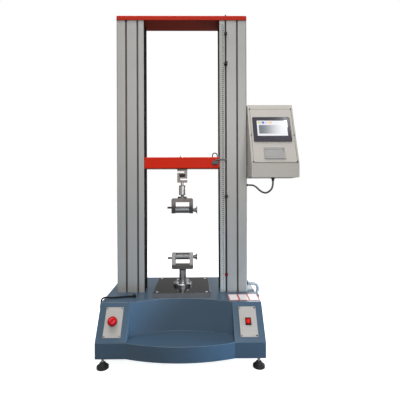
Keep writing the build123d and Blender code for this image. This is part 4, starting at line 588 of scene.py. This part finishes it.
lamp_tree.links.new(from_lamp.outputs["Value"], lamp_share.inputs["Value"])
# The glow around the lamp's point is the lamp's light and also a painted highlight at the rocker's centre.
lamp_glow_and_glint = lamp_tree.nodes.new("ShaderNodeMix")
lamp_glow_and_glint.data_type = "RGBA"
lamp_glow_and_glint.inputs["A"].default_value = chart(162, 46, 30)
lamp_glow_and_glint.inputs["B"].default_value = chart(60, 10, 6)
lamp_tree.links.new(lamp_share.outputs["Result"], lamp_glow_and_glint.inputs["Factor"])
lamp_tree.links.new(lamp_glow_and_glint.outputs["Result"], lamp_shader.inputs["Emission Color"])
sign_red = coated("sign_red", chart(226, 70, 56), 0.5, {"Specular IOR Level": 0.1}, grain_height=0.00001)
bezel_black = coated(
    "bezel_black",
    chart(10, 10, 11),
    0.5,
    {"Specular IOR Level": 0.12},
    grain_height=0.00001,
)


def round_block(name, size, place, rounding, segments):
    block = start_piece(name, bpy.ops.mesh.primitive_cube_add, size=1.0)
    block.scale = size
    block.location = place
    settle(block)
    use_modifier(block, "BEVEL", width=rounding, segments=segments)
    return block


dress(lamp_red, "rocker")
dress(bezel_black, "rocker_bezel")
switch_ring = start_piece(
    "switch_ring",
    bpy.ops.mesh.primitive_torus_add,
    major_radius=RING_RADIUS,
    minor_radius=RING_WIRE,
    major_segments=24,
    minor_segments=8,
)
switch_ring.scale = (1.0, 1.0, RING_FLATNESS)
settle(switch_ring)
switch_bar = round_block("switch_bar", BAR_SIZE, (0, 0, 0), BAR_ROUNDING, segments=2)
for sign, side in ((switch_ring, -1), (switch_bar, 1)):
    lean = Matrix.Rotation(side * ROCKER_END_LEAN, 3, "X")
    spot = rocker_pivot + rocker_along * SIGN_REACH * side + rocker_out * SIGN_HEIGHT
    sign.data.transform(plane_matrix(spot, RIGHT, lean @ rocker_along))
    sign.data.materials.append(sign_red)
    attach(sign, "rocker")

# Painted shade darkens its top towards the left, and its sides are lighter with a painted reflection.
# Platen and its screws: a thick plate, blackened on top and ground bright at its sides.
# It is bolted to the deck with zinc-plated socket screws.
PLATEN_SHADE_ENDS = (-0.1, 0.1)


def fade(material, axis, ends, first, node="surface", label="Colour"):
    """Lets a colour of the material start as another one and become its own between two places on an axis."""
    tree = material.node_tree
    own = tree.nodes[node].inputs[label]
    place = tree.nodes.new("ShaderNodeTexCoord")
    split = tree.nodes.new("ShaderNodeSeparateXYZ")
    tree.links.new(place.outputs["Object"], split.inputs[0])
    share = tree.nodes.new("ShaderNodeMapRange")
    share.interpolation_type = "SMOOTHSTEP"
    share.inputs["From Min"].default_value = ends[0]
    share.inputs["From Max"].default_value = ends[1]
    tree.links.new(split.outputs[axis], share.inputs["Value"])
    blend = tree.nodes.new("ShaderNodeMix")
    blend.data_type = "RGBA"
    blend.inputs["A"].default_value = first
    blend.inputs["B"].default_value = own.default_value
    tree.links.new(share.outputs["Result"], blend.inputs["Factor"])
    tree.links.new(blend.outputs["Result"], own)


black_steel = machined(
    "black_steel",
    chart(36, 36, 39),
    0.14,
    (6, 350, 350),
    {"Metallic": 0.2, "Specular IOR Level": 0.2},
    contrast=0.12,
    edge_radius=0.001,
)
fade(black_steel, "X", PLATEN_SHADE_ENDS, chart(12, 12, 14))
# The ground sides are lighter than the top, partly as a ground finish and partly as a painted reflection.
ground_sides_and_sheen = machined("ground_sides_and_sheen", chart(116, 121, 125), 0.3, (6, 6, 350), contrast=0.12)
dress(black_steel, "platen")
dress_faces(ground_sides_and_sheen, "platen", lambda face: abs(face.normal.z) < 0.5)
bright_zinc = machined(
    "bright_zinc",
    chart(214, 213, 210),
    0.4,
    (60, 60, 900),
    {"Metallic": 0.4},
    contrast=0.1,
)
dress(bright_zinc, "table_screws")

# Lower post and the two roller grips: turned and milled steel with a satin finish.
# The rollers sit on eccentric shafts with a wing knob, and pinch a strap against the rear jaw on its pin.
LOWER_YOKE_STEP = (0.386, 0.396)
UPPER_YOKE_STEP = (0.672, 0.700)
PIN_END = (-0.0545, -0.0535)
KNOB_NECK = (0.0535, 0.0545)
turned_steel = machined("turned_steel", chart(178, 176, 174), 0.22, (25, 25, 420), contrast=0.14)
dress(turned_steel, "coupling_sleeve")
post_steel = machined("post_steel", chart(150, 150, 153), 0.22, (25, 25, 420), contrast=0.14)
dress(post_steel, "lower_post")
lower_yoke_steel = machined("lower_yoke_steel", chart(178, 176, 174), 0.4, (40, 300, 120), contrast=0.16)
fade(lower_yoke_steel, "Z", LOWER_YOKE_STEP, chart(92, 91, 90))
dress(lower_yoke_steel, "lower_grip_yoke")
upper_yoke_steel = machined("upper_yoke_steel", chart(108, 103, 101), 0.4, (40, 300, 120), contrast=0.16)
fade(upper_yoke_steel, "Z", UPPER_YOKE_STEP, chart(58, 58, 60))
dress(upper_yoke_steel, "upper_grip_yoke")
jaw_steel = machined("jaw_steel", chart(120, 117, 114), 0.42, (40, 300, 120), contrast=0.16)
fade(jaw_steel, "X", PIN_END, chart(44, 44, 46))
dress(jaw_steel, "lower_grip_jaw", "upper_grip_jaw")
roller_steel = machined("roller_steel", chart(104, 104, 105), 0.52, (420, 40, 40), contrast=0.14)
fade(roller_steel, "X", KNOB_NECK, chart(112, 114, 116))
dress(roller_steel, "lower_grip_roller", "upper_grip_roller")

# Columns: extruded aluminium, satin anodised, with fine lines along the draw of the die.
# Each stands on the base plate under the top beam. Its grooves and the side with its slot are darkened with
# painted shade.
COLUMN_CORNER = 0.0062
GROOVE_LEAST = 0.0004
anodised = machined(
    "anodised",
    chart(155, 154, 151),
    0.5,
    (350, 350, 1.5),
    {"Metallic": 0.3},
    contrast=0.05,
    edge_radius=0.001,
)
groove_painted_shade = machined("groove_painted_shade", chart(84, 80, 76), 0.6, (350, 350, 1.5), {"Metallic": 0.3})
shade_anodised = machined("shade_anodised", chart(40, 38, 40), 0.7, (350, 350, 1.5), {"Metallic": 0.1})
dress(anodised, "left_column", "right_column")


def in_groove(face, low, high):
    """True for a face that lies behind the column's outer sides, but not on its rounded corners."""
    across = min(face.center.x - low.x, high.x - face.center.x)
    through = min(face.center.y - low.y, high.y - face.center.y)
    return min(across, through) > GROOVE_LEAST and max(across, through) > COLUMN_CORNER


# Painted shade: the grooves get a darker anodised tone, and the slot side a near-black one.
for column, inward in (("left_column", 1), ("right_column", -1)):
    low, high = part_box(column)
    dress_faces(groove_painted_shade, column, lambda face: abs(face.normal.z) < 0.5 and in_groove(face, low, high))
    dress_faces(shade_anodised, column, lambda face: face.normal.x * inward > 0.7)

# Dust lips: two black rubber strips in each column, pressed into the edges of its slot.
# They close round the webs of the crosshead as it travels.
lip_rubber = coated(
    "lip_rubber",
    chart(9, 9, 10),
    0.8,
    {"Specular IOR Level": 0.05},
    grain_scale=1000.0,
    grain_height=0.00008,
)
dress(lip_rubber, "dust_lips")

# Rule on the right column: a thin white strip with a line at every half centimetre and plain numbers.
# The marks are printed and stand a hair proud of the strip.
CENTIMETRE = 0.01
CENTIMETRES = 132
RULE_START = 0.006
MARK_THICKNESS = 0.0002
MARK_MARGIN = 0.0004
LONG_MARK = 0.0065
LONG_MARK_WIDTH = 0.0007
SHORT_MARK = 0.0042
SHORT_MARK_WIDTH = 0.0005
DIGIT_SIZE = 0.0078
DIGIT_BOLDNESS = 0.0003
DIGIT_MIDDLE = 0.0135
strip_white = coated("strip_white", chart(172, 172, 168), 0.5, grain_height=0.00001, mottle=0.03)
dress(strip_white, "column_scale")
mark_black = coated("mark_black", chart(12, 12, 13), 0.7, grain_height=0.00001)
strip_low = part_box("column_scale")[0]
mark_front = strip_low.y - MARK_THICKNESS / 2


def row_of_marks(name, length, width, start):
    row = start_piece(name, bpy.ops.mesh.primitive_cube_add, size=1.0)
    row.scale = (length, MARK_THICKNESS, width)
    row.location = (strip_low.x + MARK_MARGIN + length / 2, mark_front, strip_low.z + start)
    settle(row)
    use_modifier(
        row,
        "ARRAY",
        count=CENTIMETRES,
        use_relative_offset=False,
        use_constant_offset=True,
        constant_offset_displace=(0, 0, CENTIMETRE),
    )
    return row


rule_marks = row_of_marks("rule_marks", LONG_MARK, LONG_MARK_WIDTH, RULE_START)
half_marks = row_of_marks("half_marks", SHORT_MARK, SHORT_MARK_WIDTH, RULE_START + CENTIMETRE / 2)
numbers = []
for centimetre in range(CENTIMETRES):
    bpy.ops.object.select_all(action="DESELECT")
    bpy.ops.object.text_add()
    digit = bpy.context.object
    digit.data.body = str(centimetre)
    digit.data.size = DIGIT_SIZE
    digit.data.resolution_u = 2
    digit.data.offset = DIGIT_BOLDNESS
    digit.data.align_x = "CENTER"
    digit.data.align_y = "CENTER"
    digit.data.extrude = MARK_THICKNESS / 2
    bpy.ops.object.convert(target="MESH")
    digit = bpy.context.object
    height = strip_low.z + RULE_START + CENTIMETRE * centimetre
    place = Matrix.Translation((strip_low.x + DIGIT_MIDDLE, mark_front, height))
    digit.data.transform(place @ Matrix.Rotation(math.pi / 2, 4, "X"))
    numbers.append(digit)
bpy.ops.object.select_all(action="DESELECT")
for digit in numbers + [half_marks, rule_marks]:
    digit.select_set(True)
bpy.context.view_layer.objects.active = rule_marks
bpy.ops.object.join()
rule_marks.data.materials.clear()
rule_marks.data.materials.append(mark_black)
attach(rule_marks, "frame")

# Top beam and crosshead: machined blocks sprayed bright red, with sharp edges where the paint is thin.
# The top beam is bolted across the columns. Its red is darkened with painted shade, most of all on its
# underside.


def sprayed_red(name, colour, edge_colour, roughness):
    return coated(
        name,
        colour,
        roughness,
        {"Specular IOR Level": 0.08},
        edge_colour=edge_colour,
        edge_wear=0.4,
        grain_scale=260.0,
        grain_height=0.00004,
        mottle=0.03,
        edge_radius=0.0012,
    )


red_coat = sprayed_red("red_coat", chart(211, 39, 10), chart(216, 84, 54), 0.45)
dress(red_coat, "crosshead_beam")
# Painted shade: the same red as the crosshead, darker, and darker still on the underside.
shaded_beam_red = sprayed_red("shaded_beam_red", chart(178, 42, 22), chart(190, 74, 48), 0.5)
dress(shaded_beam_red, "top_beam")
beam_underside_shade = coated("beam_underside_shade", chart(154, 60, 42), 0.6, {"Specular IOR Level": 0.08}, mottle=0.03)
dress_faces(beam_underside_shade, "top_beam", lambda face: face.normal.z < -0.5)

# Load cell: an S of nickel-plated steel on plain bolts, with a sealed pocket for its gauges.
# Its lead loops over the crosshead to a dark connector on the front.
POCKET_LEAST = 0.001
nickel = machined("nickel_plate", chart(106, 100, 97), 0.34, (200, 200, 200), contrast=0.16)
dress(nickel, "load_cell")
cell_low, cell_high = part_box("load_cell")


def in_gauge_pocket(face):
    """True for a face at the bottom of a pocket in the front or the back of the cell."""
    is_inside = cell_low.y + POCKET_LEAST < face.center.y < cell_high.y - POCKET_LEAST
    return is_inside and abs(face.normal.y) > 0.9


sealant = coated("sealant", chart(52, 50, 50), 0.6, {"Specular IOR Level": 0.2}, grain_scale=700.0)
dress_faces(sealant, "load_cell", in_gauge_pocket)
dress(turned_steel, "load_cell_bolts")
plug_plastic = coated("plug_plastic", chart(52, 52, 54), 0.45, grain_scale=800.0)
dress(plug_plastic, "cell_plug")
lead_rubber = coated("lead_rubber", chart(14, 14, 15), 0.6, {"Specular IOR Level": 0.2}, grain_scale=900.0)
dress(lead_rubber, "cell_lead")

# Limit rod: a blackened rod with clamp stops, and the finger on the crosshead that meets them.
# It slides in two blocks on the column, the upper one black and the lower one red.
ROD_GUIDE_SPLIT = 0.9
dark_steel = machined("dark_steel", chart(70, 70, 72), 0.36, (300, 60, 60), contrast=0.14)
dress(dark_steel, "limit_rod")
finger_steel = machined(
    "finger_steel",
    chart(76, 76, 76),
    0.5,
    (300, 60, 60),
    {"Metallic": 0.6},
    contrast=0.12,
)
dress(finger_steel, "limit_finger")
dress(black_plastic, "rod_guides", "upper_stop", "lower_stop")
guide_red = coated("guide_red", chart(104, 14, 32), 0.5, {"Specular IOR Level": 0.15}, grain_height=0.00001)
dress_faces(guide_red, "rod_guides", lambda face: face.center.z < ROD_GUIDE_SPLIT)

# Console: a folded sheet box with a sloping face, in pale grey powder coat, on a bar at the column.
# A thin dark line of painted shadow runs round the face plate, through its screws.
BORDER_WIDTH = 0.2042
BORDER_HEIGHT = 0.2904
BORDER_LINE = 0.0017
BORDER_DROP = 0.0117
PRINT_THICKNESS = 0.00006
pale_coat = coated(
    "pale_grey_coat",
    chart(180, 176, 169),
    0.42,
    edge_colour=chart(206, 203, 197),
    edge_wear=0.3,
    grain_scale=420.0,
    grain_height=0.00004,
    mottle=0.03,
)
dress(pale_coat, "console_case", "console_face")
dress(primer, "console_bracket")
edge_shadow_grey = coated("edge_shadow_grey", chart(70, 68, 66), 0.6, grain_height=0.00001)
border = start_piece("face_edge_shadow", bpy.ops.mesh.primitive_plane_add, size=1.0)
border.scale = (BORDER_WIDTH, BORDER_HEIGHT, 1.0)
settle(border)
bpy.ops.object.mode_set(mode="EDIT")
bpy.ops.mesh.select_all(action="SELECT")
bpy.ops.mesh.inset(thickness=BORDER_LINE, depth=0.0)
bpy.ops.mesh.delete(type="FACE")
bpy.ops.object.mode_set(mode="OBJECT")
use_modifier(border, "SOLIDIFY", thickness=PRINT_THICKNESS, offset=1.0)
border_place = face_middle - FACE_UP * BORDER_DROP + FACE_NORMAL * PANEL_THICKNESS
border.data.transform(plane_matrix(border_place, RIGHT, FACE_UP))
border.data.materials.append(edge_shadow_grey)
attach(border, "frame")

# Display: a dark moulded bezel round a touch panel, set into the face of the console.
# A plain picture of a test screen is lit on the panel, with four tabs and a graph that pales to the right as
# painted glare.
GLASS_SHIFT = -0.002
GLASS_RISE = 0.022
GLASS_FRONT = 0.008
FIELD_CORNER = 0.0008
PAGE_FIELD = (-0.071, 0.073, -0.042, 0.041)
GRAPH_FIELD = (-0.063, 0.040, -0.031, 0.017)
GRAPH_GLARE_ENDS = (0.375, 0.490)
TAB_LOW = 0.024
TAB_HIGH = 0.037
bezel_plastic = coated(
    "bezel_plastic",
    chart(52, 50, 61),
    0.16,
    edge_colour=chart(90, 88, 98),
    edge_wear=0.3,
    grain_height=0.00001,
)
dress(bezel_plastic, "screen_bezel")
panel_black = coated(
    "panel_black",
    chart(20, 20, 24),
    0.08,
    {"Coat Weight": 1.0, "Coat Roughness": 0.03},
    grain_height=0.0,
    mottle=0.01,
)
dress(panel_black, "screen_glass")
glass_middle = face_middle + RIGHT * GLASS_SHIFT + FACE_UP * GLASS_RISE + FACE_NORMAL * GLASS_FRONT


def lit(name, colour, strength):
    shine = {"Coat Weight": 1.0, "Coat Roughness": 0.03, "Emission Strength": strength}
    material = coated(name, chart(30, 30, 32), 0.1, shine, grain_height=0.0, mottle=0.01)
    material.node_tree.nodes["Principled BSDF"].inputs["Emission Color"].default_value = colour
    return material


def picture_field(name, left, right, low, high, layer, material):
    field = start_piece(name, bpy.ops.mesh.primitive_plane_add, size=1.0)
    field.scale = (right - left, high - low, 1.0)
    field.location = ((left + right) / 2, (low + high) / 2, 0.0)
    settle(field)
    bpy.ops.object.mode_set(mode="EDIT")
    bpy.ops.mesh.select_all(action="SELECT")
    bpy.ops.mesh.bevel(offset=FIELD_CORNER, segments=3, affect="VERTICES")
    bpy.ops.object.mode_set(mode="OBJECT")
    use_modifier(field, "SOLIDIFY", thickness=PRINT_THICKNESS, offset=1.0)
    field.data.transform(plane_matrix(glass_middle + FACE_NORMAL * PRINT_THICKNESS * layer, RIGHT, FACE_UP))
    field.data.materials.append(material)
    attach(field, "frame")


page_white = lit("page_white", chart(244, 245, 252), 0.95)
picture_field("display_page", *PAGE_FIELD, 0, page_white)
tabs = (
    (-0.067, -0.050, lit("tab_yellow", chart(222, 226, 160), 0.9)),
    (-0.047, -0.035, lit("tab_blue", chart(96, 120, 214), 0.9)),
    (-0.032, -0.021, lit("tab_lilac", chart(226, 216, 240), 0.9)),
    (-0.018, 0.003, lit("tab_orange", chart(250, 222, 182), 0.9)),
)
for number, (left, right, tab_colour) in enumerate(tabs):
    picture_field(f"display_tab_{number + 1}", left, right, TAB_LOW, TAB_HIGH, 1, tab_colour)
graph_slate_glare = lit("graph_slate_glare", chart(244, 245, 252), 0.95)
fade(graph_slate_glare, "X", GRAPH_GLARE_ENDS, chart(114, 119, 128), "Principled BSDF", "Emission Color")
picture_field("display_graph", *GRAPH_FIELD, 1, graph_slate_glare)

# Panel printer: a moulded grey frame with a paper door, a feed button and a small lamp.
# It is snapped into the face of the console, and the door has a slot for the paper and a grip.
PRINTER_SHIFT = -0.001
PRINTER_RISE = -0.109
PRINTER_FRONT = 0.006
SLOT_SIZE = (0.060, 0.0012, 0.0003)
SLOT_PLACE = (-0.005, 0.0175, 0.0)
SLOT_ROUNDING = 0.00012
GRIP_SIZE = (0.0055, 0.0028, 0.0012)
GRIP_PLACE = (-0.0385, 0.0175, 0.0006)
GRIP_ROUNDING = 0.0005
PAPER_LAMP_RADIUS = 0.0019
PAPER_LAMP_FLATNESS = 0.5
PAPER_LAMP_PLACE = (0.041, 0.005, 0.0)
printer_plastic = coated(
    "printer_plastic",
    chart(154, 153, 152),
    0.5,
    edge_colour=chart(184, 183, 181),
    edge_wear=0.3,
    grain_scale=900.0,
    grain_height=0.00004,
)
dress(printer_plastic, "printer_body", "printer_door")
dress(grey_plastic, "printer_button")
printer_middle = face_middle + RIGHT * PRINTER_SHIFT + FACE_UP * PRINTER_RISE + FACE_NORMAL * PRINTER_FRONT
paper_slot = round_block("paper_slot", SLOT_SIZE, SLOT_PLACE, SLOT_ROUNDING, segments=2)
door_grip = round_block("door_grip", GRIP_SIZE, GRIP_PLACE, GRIP_ROUNDING, segments=3)
paper_lamp = start_piece(
    "paper_lamp",
    bpy.ops.mesh.primitive_uv_sphere_add,
    segments=16,
    ring_count=8,
    radius=PAPER_LAMP_RADIUS,
)
paper_lamp.scale = (1.0, 1.0, PAPER_LAMP_FLATNESS)
paper_lamp.location = PAPER_LAMP_PLACE
settle(paper_lamp)
bpy.ops.object.shade_smooth()
for piece, body in ((paper_slot, "printer_door"), (door_grip, "printer_door"), (paper_lamp, "frame")):
    piece.data.transform(plane_matrix(printer_middle, RIGHT, FACE_UP))
    piece.data.materials.append(grey_plastic)
    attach(piece, body)

# Leads: a grey one from the console to the column, and a black one that lies on the deck and goes over
# its left edge. Both are round cable in a soft sheath. The glands that hold the ends of the cables and
# the mains inlet at the back are moulded in black.
CONSOLE_CABLE = (
    (440, -60, 808),
    (440, -60, 787),
    (434, -51, 764),
    (413, -33, 747),
    (392, -10, 756),
    (377, 18, 777),
    (366, 40, 788),
    (352, 52, 790),
    (336, 52, 790),
)
CONSOLE_CABLE_RADIUS = 0.0045
DECK_LEAD = (
    (-232, -86, 264.3),
    (-254, -86, 264.3),
    (-281, -92, 264.3),
    (-309, -101, 264.3),
    (-334, -107, 265.5),
    (-354, -111, 269),
    (-368, -113, 264),
    (-372, -114, 250),
    (-372, -114, 236),
)
DECK_LEAD_RADIUS = 0.004


def lay_cable(name, route, radius):
    curve = bpy.data.curves.new(name, "CURVE")
    curve.dimensions = "3D"
    spline = curve.splines.new("NURBS")
    spline.points.add(len(route) - 1)
    for point, (x, y, z) in zip(spline.points, route):
        point.co = (x / 1000, y / 1000, z / 1000, 1.0)
    spline.order_u = 3
    spline.use_endpoint_u = True
    spline.resolution_u = 12
    curve.bevel_mode = "ROUND"
    curve.bevel_depth = radius
    curve.bevel_resolution = 6
    curve.use_fill_caps = True
    cable = bpy.data.objects.new(name, curve)
    bpy.context.collection.objects.link(cable)
    return cable


def declare_cord(cord, material, node, slot, route, **facts):
    cord.data.materials.append(material)
    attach(cord, "frame")
    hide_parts(node)


grey_sheath = coated("grey_sheath", chart(88, 90, 92), 0.5, grain_scale=900.0)
console_lead = lay_cable("console_lead", CONSOLE_CABLE, CONSOLE_CABLE_RADIUS)
declare_cord(
    console_lead,
    grey_sheath,
    "console_cable",
    "black_rubber",
    CONSOLE_CABLE,
    length=0.207,
    diameter=0.009,
    stiffness="medium",
    lay="hanging",
)
black_lead = lay_cable("black_lead", DECK_LEAD, DECK_LEAD_RADIUS)
declare_cord(
    black_lead,
    lead_rubber,
    "deck_lead",
    "black_rubber",
    DECK_LEAD,
    length=0.1676,
    diameter=0.008,
    stiffness="limp",
    lay="loose",
)
dress(black_plastic, "cable_glands", "power_inlet")

# Corrugated hose: pale plastic, from the right column down over the edge of the deck.
# One rib is drawn straight, repeated along the hose's length and bent on to the route's smooth line.
HOSE = (
    (336, 55, 280),
    (354, 55, 280),
    (374, 59, 279),
    (389, 66, 266),
    (392, 70, 248),
    (387, 72, 231),
    (387, 72, 217),
)
HOSE_RIBS = 26
HOSE_LOW = 0.0074
HOSE_HIGH = 0.0085
RIB_STEPS = (
    (0.25, 1.0),
    (0.2, HOSE_HIGH / HOSE_LOW),
    (0.35, 1.0),
    (0.2, HOSE_LOW / HOSE_HIGH),
)
hose_plastic = coated("hose_plastic", chart(188, 187, 188), 0.4, grain_scale=500.0)
hose_line = lay_cable("hose_line", HOSE, 0.0)
line_mesh = bpy.data.meshes.new_from_object(hose_line)
hose_path = [tuple(vertex.co) for vertex in line_mesh.vertices]
hose_length = sum(math.dist(a, b) for a, b in zip(hose_path, hose_path[1:]))
rib_pitch = hose_length / HOSE_RIBS
hose = start_piece("corrugated_hose", bpy.ops.mesh.primitive_circle_add, vertices=24, radius=HOSE_LOW)
hose.rotation_euler = (0, math.pi / 2, 0)
settle(hose)
bpy.ops.object.mode_set(mode="EDIT")
bpy.ops.mesh.select_all(action="SELECT")
for share, growth in RIB_STEPS:
    bpy.ops.mesh.extrude_region_move(TRANSFORM_OT_translate={"value": (share * rib_pitch, 0, 0)})
    bpy.ops.transform.resize(value=(1, growth, growth))
bpy.ops.object.mode_set(mode="OBJECT")
use_modifier(
    hose,
    "ARRAY",
    count=HOSE_RIBS,
    use_relative_offset=False,
    use_constant_offset=True,
    constant_offset_displace=(rib_pitch, 0, 0),
    use_merge_vertices=True,
    merge_threshold=0.0001,
)
use_modifier(hose, "CURVE", object=hose_line, deform_axis="POS_X")
bpy.ops.object.mode_set(mode="EDIT")
bpy.ops.mesh.select_all(action="SELECT")
bpy.ops.mesh.normals_make_consistent(inside=False)
bpy.ops.object.mode_set(mode="OBJECT")
bpy.ops.object.shade_smooth_by_angle(angle=0.9)
bpy.data.objects.remove(hose_line)
declare_cord(
    hose,
    hose_plastic,
    "conduit",
    "conduit_plastic",
    HOSE,
    length=0.1082,
    diameter=0.017,
    stiffness="stiff",
    lay="hanging",
    path=hose_path,
)

# Studio: a plain pale floor and backdrop, with the camera in front at the height of the machine's middle.
# Softboxes hang in front, at the front right, overhead, behind and at the rear right. A small strip puts
# glare on the display, and a low blue one at the right shows in no reflection.
FLOOR_SIZE = 40.0
FLOOR_SEEN = (0.55, 0.55, 0.55, 1.0)
FLOOR_BOUNCE = (0.08, 0.08, 0.085, 1.0)
FLOOR_SEEN_GLOW = 0.84
FLOOR_GLOSS_GLOW = 0.4
WHITE = (1.0, 1.0, 1.0, 1.0)
SKY_STRENGTH = 0.26
SKY_GLOSS_BEHIND = 0.13
SKY_GLOSS_FRONT = 0.45
BLUE_LIGHT = (0.42, 0.7, 1.0)
floor = start_piece("studio_floor", bpy.ops.mesh.primitive_plane_add, size=FLOOR_SIZE)
floor_white = bpy.data.materials.new("floor_white")
floor_white.use_nodes = True
floor_tree = floor_white.node_tree
floor_shader = floor_tree.nodes["Principled BSDF"]
floor_shader.inputs["Roughness"].default_value = 0.9
floor_sight = floor_tree.nodes.new("ShaderNodeLightPath")
floor_tone = floor_tree.nodes.new("ShaderNodeMix")
floor_tone.data_type = "RGBA"
floor_tone.inputs["A"].default_value = FLOOR_BOUNCE
floor_tone.inputs["B"].default_value = FLOOR_SEEN
floor_tree.links.new(floor_sight.outputs["Is Camera Ray"], floor_tone.inputs["Factor"])
floor_tree.links.new(floor_tone.outputs["Result"], floor_shader.inputs["Base Color"])
floor_shader.inputs["Emission Color"].default_value = WHITE
seen = math_node(floor_tree, "MULTIPLY", floor_sight.outputs["Is Camera Ray"], FLOOR_SEEN_GLOW)
mirrored = math_node(floor_tree, "MULTIPLY", floor_sight.outputs["Is Glossy Ray"], FLOOR_GLOSS_GLOW)
floor_tree.links.new(math_node(floor_tree, "ADD", seen, mirrored), floor_shader.inputs["Emission Strength"])
floor.data.materials.append(floor_white)
world = bpy.data.worlds.new("studio")
bpy.context.scene.world = world
world.use_nodes = True
sky_tree = world.node_tree
sky = sky_tree.nodes["Background"]
sky.inputs["Color"].default_value = WHITE
backdrop = sky_tree.nodes.new("ShaderNodeBackground")
backdrop.inputs["Color"].default_value = WHITE
backdrop.inputs["Strength"].default_value = 1.0
sight = sky_tree.nodes.new("ShaderNodeLightPath")
choice = sky_tree.nodes.new("ShaderNodeMixShader")
heading = sky_tree.nodes.new("ShaderNodeTexCoord")
parts = sky_tree.nodes.new("ShaderNodeSeparateXYZ")
sky_tree.links.new(heading.outputs["Generated"], parts.inputs[0])
from_front = sky_tree.nodes.new("ShaderNodeMapRange")
from_front.inputs["From Min"].default_value = 0.4
from_front.inputs["From Max"].default_value = -0.5
from_front.inputs["To Min"].default_value = SKY_GLOSS_BEHIND
from_front.inputs["To Max"].default_value = SKY_GLOSS_FRONT
sky_tree.links.new(parts.outputs["Y"], from_front.inputs["Value"])
gleam = math_node(sky_tree, "MULTIPLY", sight.outputs["Is Glossy Ray"], from_front.outputs["Result"])
sky_tree.links.new(math_node(sky_tree, "ADD", gleam, SKY_STRENGTH), sky.inputs["Strength"])
sky_tree.links.new(sight.outputs["Is Camera Ray"], choice.inputs[0])
sky_tree.links.new(sky.outputs[0], choice.inputs[1])
sky_tree.links.new(backdrop.outputs[0], choice.inputs[2])
sky_tree.links.new(choice.outputs[0], sky_tree.nodes["World Output"].inputs["Surface"])


def hang_softbox(name, place, aim, width, height, power, tint=(1.0, 1.0, 1.0), spread=180):
    """A rectangular light. One with a narrowed spread, in degrees, is left out of reflections."""
    data = bpy.data.lights.new(name, "AREA")
    data.shape = "RECTANGLE"
    data.size = width
    data.size_y = height
    data.energy = power
    data.color = tint
    data.spread = math.radians(spread)
    softbox = bpy.data.objects.new(name, data)
    softbox.location = place
    softbox.rotation_euler = (Vector(aim) - Vector(place)).to_track_quat("-Z", "Y").to_euler()
    softbox.visible_glossy = spread == 180
    bpy.context.collection.objects.link(softbox)


hang_softbox("key_softbox", (0.0, -3.0, 1.8), (0.0, 0.0, 0.6), 1.0, 1.0, 34.0)
hang_softbox("fill_softbox", (1.1, -2.8, 1.3), (0.3, 0.0, 0.8), 0.5, 1.2, 13.0)
hang_softbox("top_softbox", (-0.3, 0.1, 3.2), (0.0, 0.0, 0.3), 2.2, 2.2, 108.0)
hang_softbox("back_softbox", (0.9, 3.0, 1.2), (0.35, 0.0, 0.3), 0.6, 1.0, 8.0)
hang_softbox("glare_strip", (1.08, -1.2, 2.72), (0.45, 0.0, 1.1), 0.06, 0.2, 0.7)
hang_softbox("side_softbox", (2.0, -0.45, 0.2), (-0.2, -0.2, 0.2), 0.6, 0.3, 6.4, BLUE_LIGHT, 40)
hang_softbox("rim_softbox", (1.9, 1.3, 1.2), (0.2, 0.0, 0.8), 0.8, 1.8, 18.0)
camera_data = bpy.data.cameras.new("camera")
camera_data.lens = 28.08
camera_data.sensor_width = 36.0
camera_data.shift_x = 0.0082
camera_data.shift_y = -0.0225
camera_data.clip_end = 100.0
camera = bpy.data.objects.new("camera", camera_data)
camera.location = (0.059, -1.561, 0.760)
camera.rotation_euler = (math.pi / 2, math.radians(0.2), math.radians(-0.5))
bpy.context.collection.objects.link(camera)
bpy.context.scene.camera = camera
bpy.context.scene.view_settings.view_transform = "Standard"
